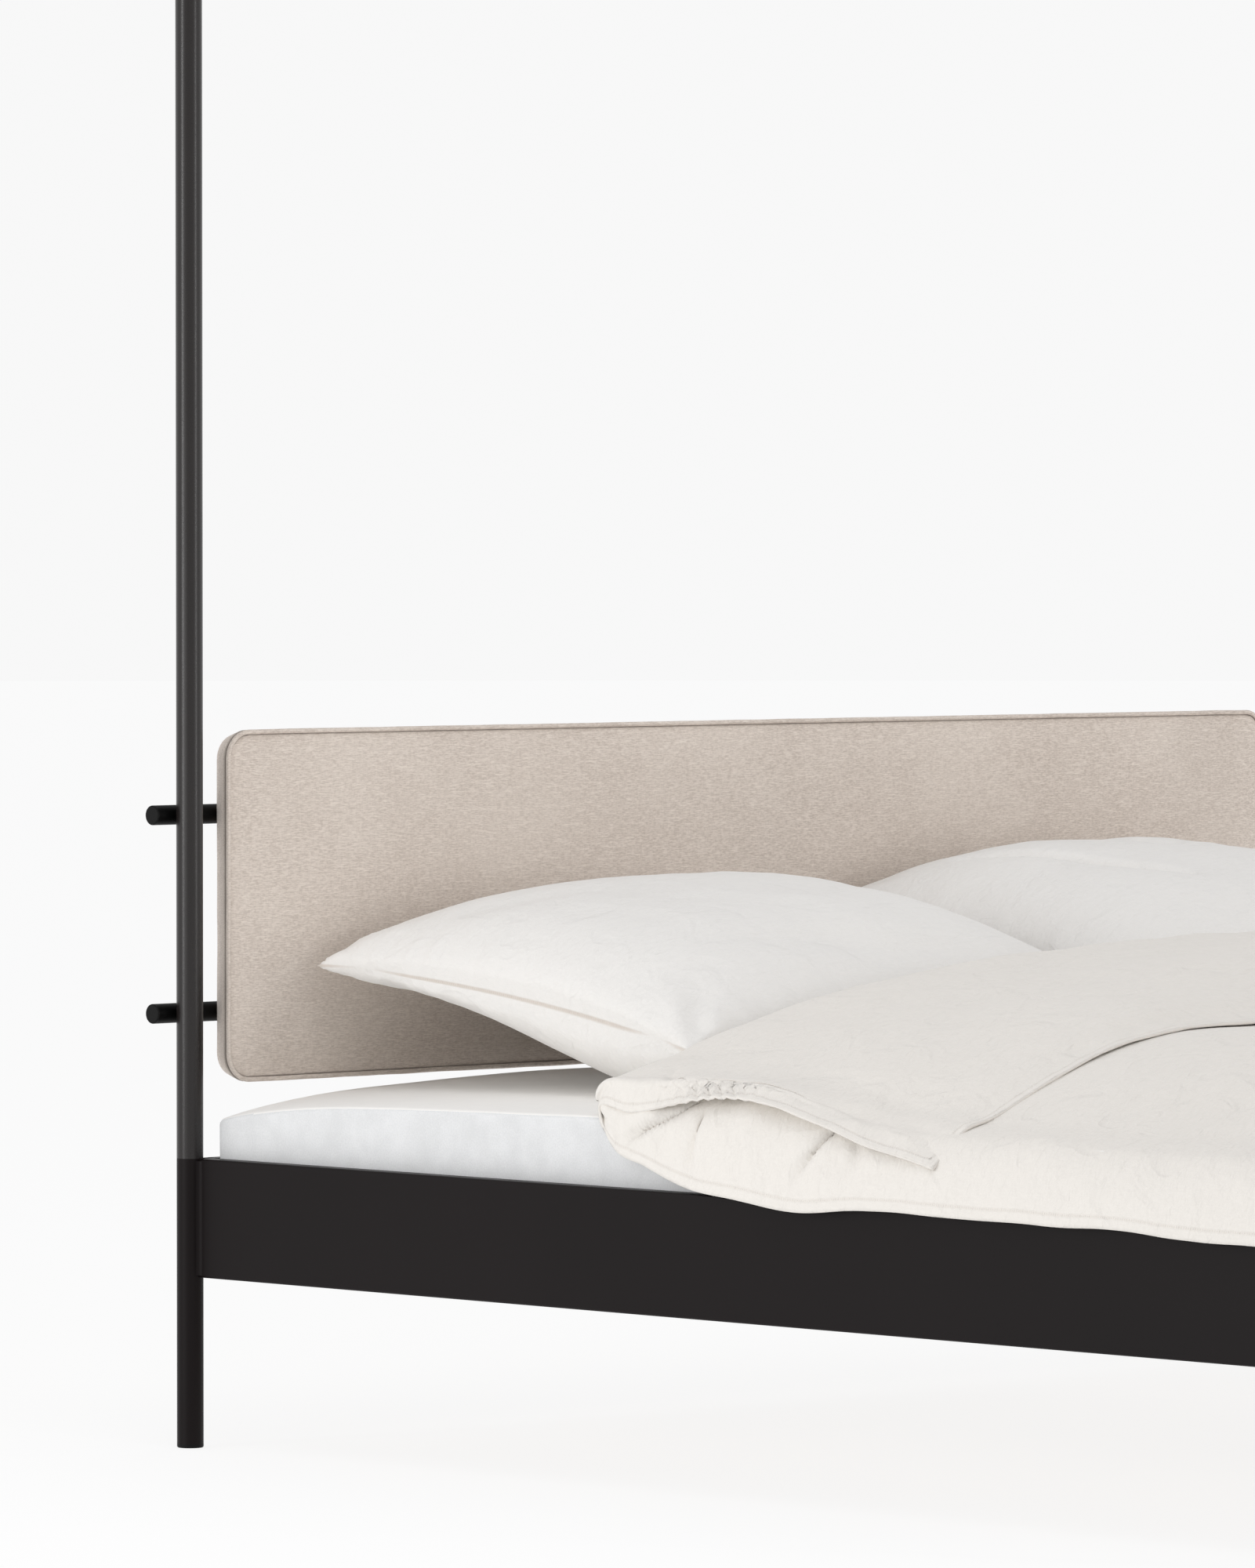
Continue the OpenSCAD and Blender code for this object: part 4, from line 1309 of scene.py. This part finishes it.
def studio_world():
    """A white studio, dimmer behind the camera."""
    made = bpy.data.worlds.new("Studio")
    made.use_nodes = True
    t = Tree(made.node_tree)
    back = made.node_tree.nodes["Background"]
    toward_camera = Vector((CAMERA_AT.x, CAMERA_AT.y, 0.6)).normalized()
    way = t.add("ShaderNodeTexCoord").outputs["Generated"]
    facing = t.add("ShaderNodeVectorMath", {"operation": "DOT_PRODUCT"})
    t.put(facing, "0", way)
    t.put(facing, "1", tuple(toward_camera))
    dim = t.ramp(facing.outputs["Value"], 0.55, 1.0, 0.0, 1.0)
    height = t.add("ShaderNodeSeparateXYZ", None, Vector=way).outputs["Z"]
    tone = t.mix(dim, (0.937, 0.937, 0.937), (0.56, 0.56, 0.56))
    t.put(back, "Color", t.mix(t.ramp(height, 0.2, 0.9), tone, (0.62, 0.62, 0.63)))
    back.inputs["Strength"].default_value = 1.0
    return made


def add_lamp(name, place_at, aim, wide, tall, power):
    lamp = bpy.data.lights.new(name, "AREA")
    lamp.shape = "RECTANGLE"
    lamp.size = wide
    lamp.size_y = tall
    lamp.energy = power
    thing = bpy.data.objects.new(name, lamp)
    thing.location = place_at
    thing.rotation_euler = (Vector(aim) - Vector(place_at)).to_track_quat("-Z", "Y").to_euler()
    bpy.context.scene.collection.objects.link(thing)


def add_camera():
    lens = bpy.data.cameras.new("Camera")
    lens.lens = CAMERA_LENS
    lens.sensor_width = 36.0
    lens.clip_end = 200.0
    camera = bpy.data.objects.new("Camera", lens)
    camera.location = CAMERA_AT
    camera.rotation_euler = CAMERA_TURN
    bpy.context.scene.collection.objects.link(camera)
    bpy.context.scene.camera = camera


class BED_OT_stage(bpy.types.Operator):
    """Set up the floor, the soft studio light and the camera"""

    bl_idname = "bed.stage"
    bl_label = "Stage"
    bl_options = {"REGISTER", "UNDO"}

    def execute(self, context):
        scene = context.scene
        clear_selection()
        bpy.ops.mesh.primitive_circle_add(
            vertices=96, radius=60.0, fill_type="NGON", location=(0, 0, -0.0005)
        )
        floor = context.object
        floor.name = "Floor"
        # a lit white floor, so that it meets the backdrop without a line
        pale, t, shader = new_material("Pale floor", Roughness=0.9, Specular_IOR_Level=0.0)
        mottle = t.ramp(t.noise(place(t), 0.7, 3.0), 0.3, 0.7, 0.0, 0.02)
        t.put(shader, "Base Color", t.mix(mottle, (0.16, 0.16, 0.16), (0.15, 0.15, 0.15)))
        shader.inputs["Emission Color"].default_value = (1.0, 1.0, 1.0, 1.0)
        shader.inputs["Emission Strength"].default_value = FLOOR_GLOW
        floor.data.materials.append(pale)
        scene.world = studio_world()
        for lamp in LAMPS:
            add_lamp(*lamp)
        add_camera()
        scene.view_settings.view_transform = "Standard"
        return {"FINISHED"}


# ---- panel and run ----

STEPS = (
    BED_OT_frame_finish,
    BED_OT_fittings_finish,
    BED_OT_wood_finish,
    BED_OT_headboard,
    BED_OT_mattress,
    BED_OT_pillows,
    BED_OT_duvet,
    BED_OT_straps,
    BED_OT_stage,
)


class BED_PT_panel(bpy.types.Panel):
    """The bed's sizes, colours and steps"""

    bl_idname = "BED_PT_panel"
    bl_label = "Canopy bed"
    bl_space_type = "VIEW_3D"
    bl_region_type = "UI"
    bl_category = "Canopy bed"

    def draw(self, context):
        for holder in (context.scene.bed_sizes, context.scene.bed_colours):
            part = self.layout.box().column()
            for name in holder.bl_rna.properties.keys():
                if name not in ("rna_type", "name"):
                    part.prop(holder, name)
        steps = self.layout.column()
        for step in STEPS:
            steps.operator(step.bl_idname)


CLASSES = (BedSizes, BedColours, *STEPS, BED_PT_panel)


def register():
    for each in CLASSES:
        bpy.utils.register_class(each)
    bpy.types.Scene.bed_sizes = bpy.props.PointerProperty(type=BedSizes)
    bpy.types.Scene.bed_colours = bpy.props.PointerProperty(type=BedColours)


def unregister():
    del bpy.types.Scene.bed_colours
    del bpy.types.Scene.bed_sizes
    for each in reversed(CLASSES):
        bpy.utils.unregister_class(each)


def main():
    register()
    bpy.ops.bed.frame_finish()
    bpy.ops.bed.fittings_finish()
    bpy.ops.bed.wood_finish()
    bpy.ops.bed.headboard()
    bpy.ops.bed.mattress()
    bpy.ops.bed.pillows()
    bpy.ops.bed.duvet()
    bpy.ops.bed.straps()
    bpy.ops.bed.stage()


if __name__ == "__main__":
    main()
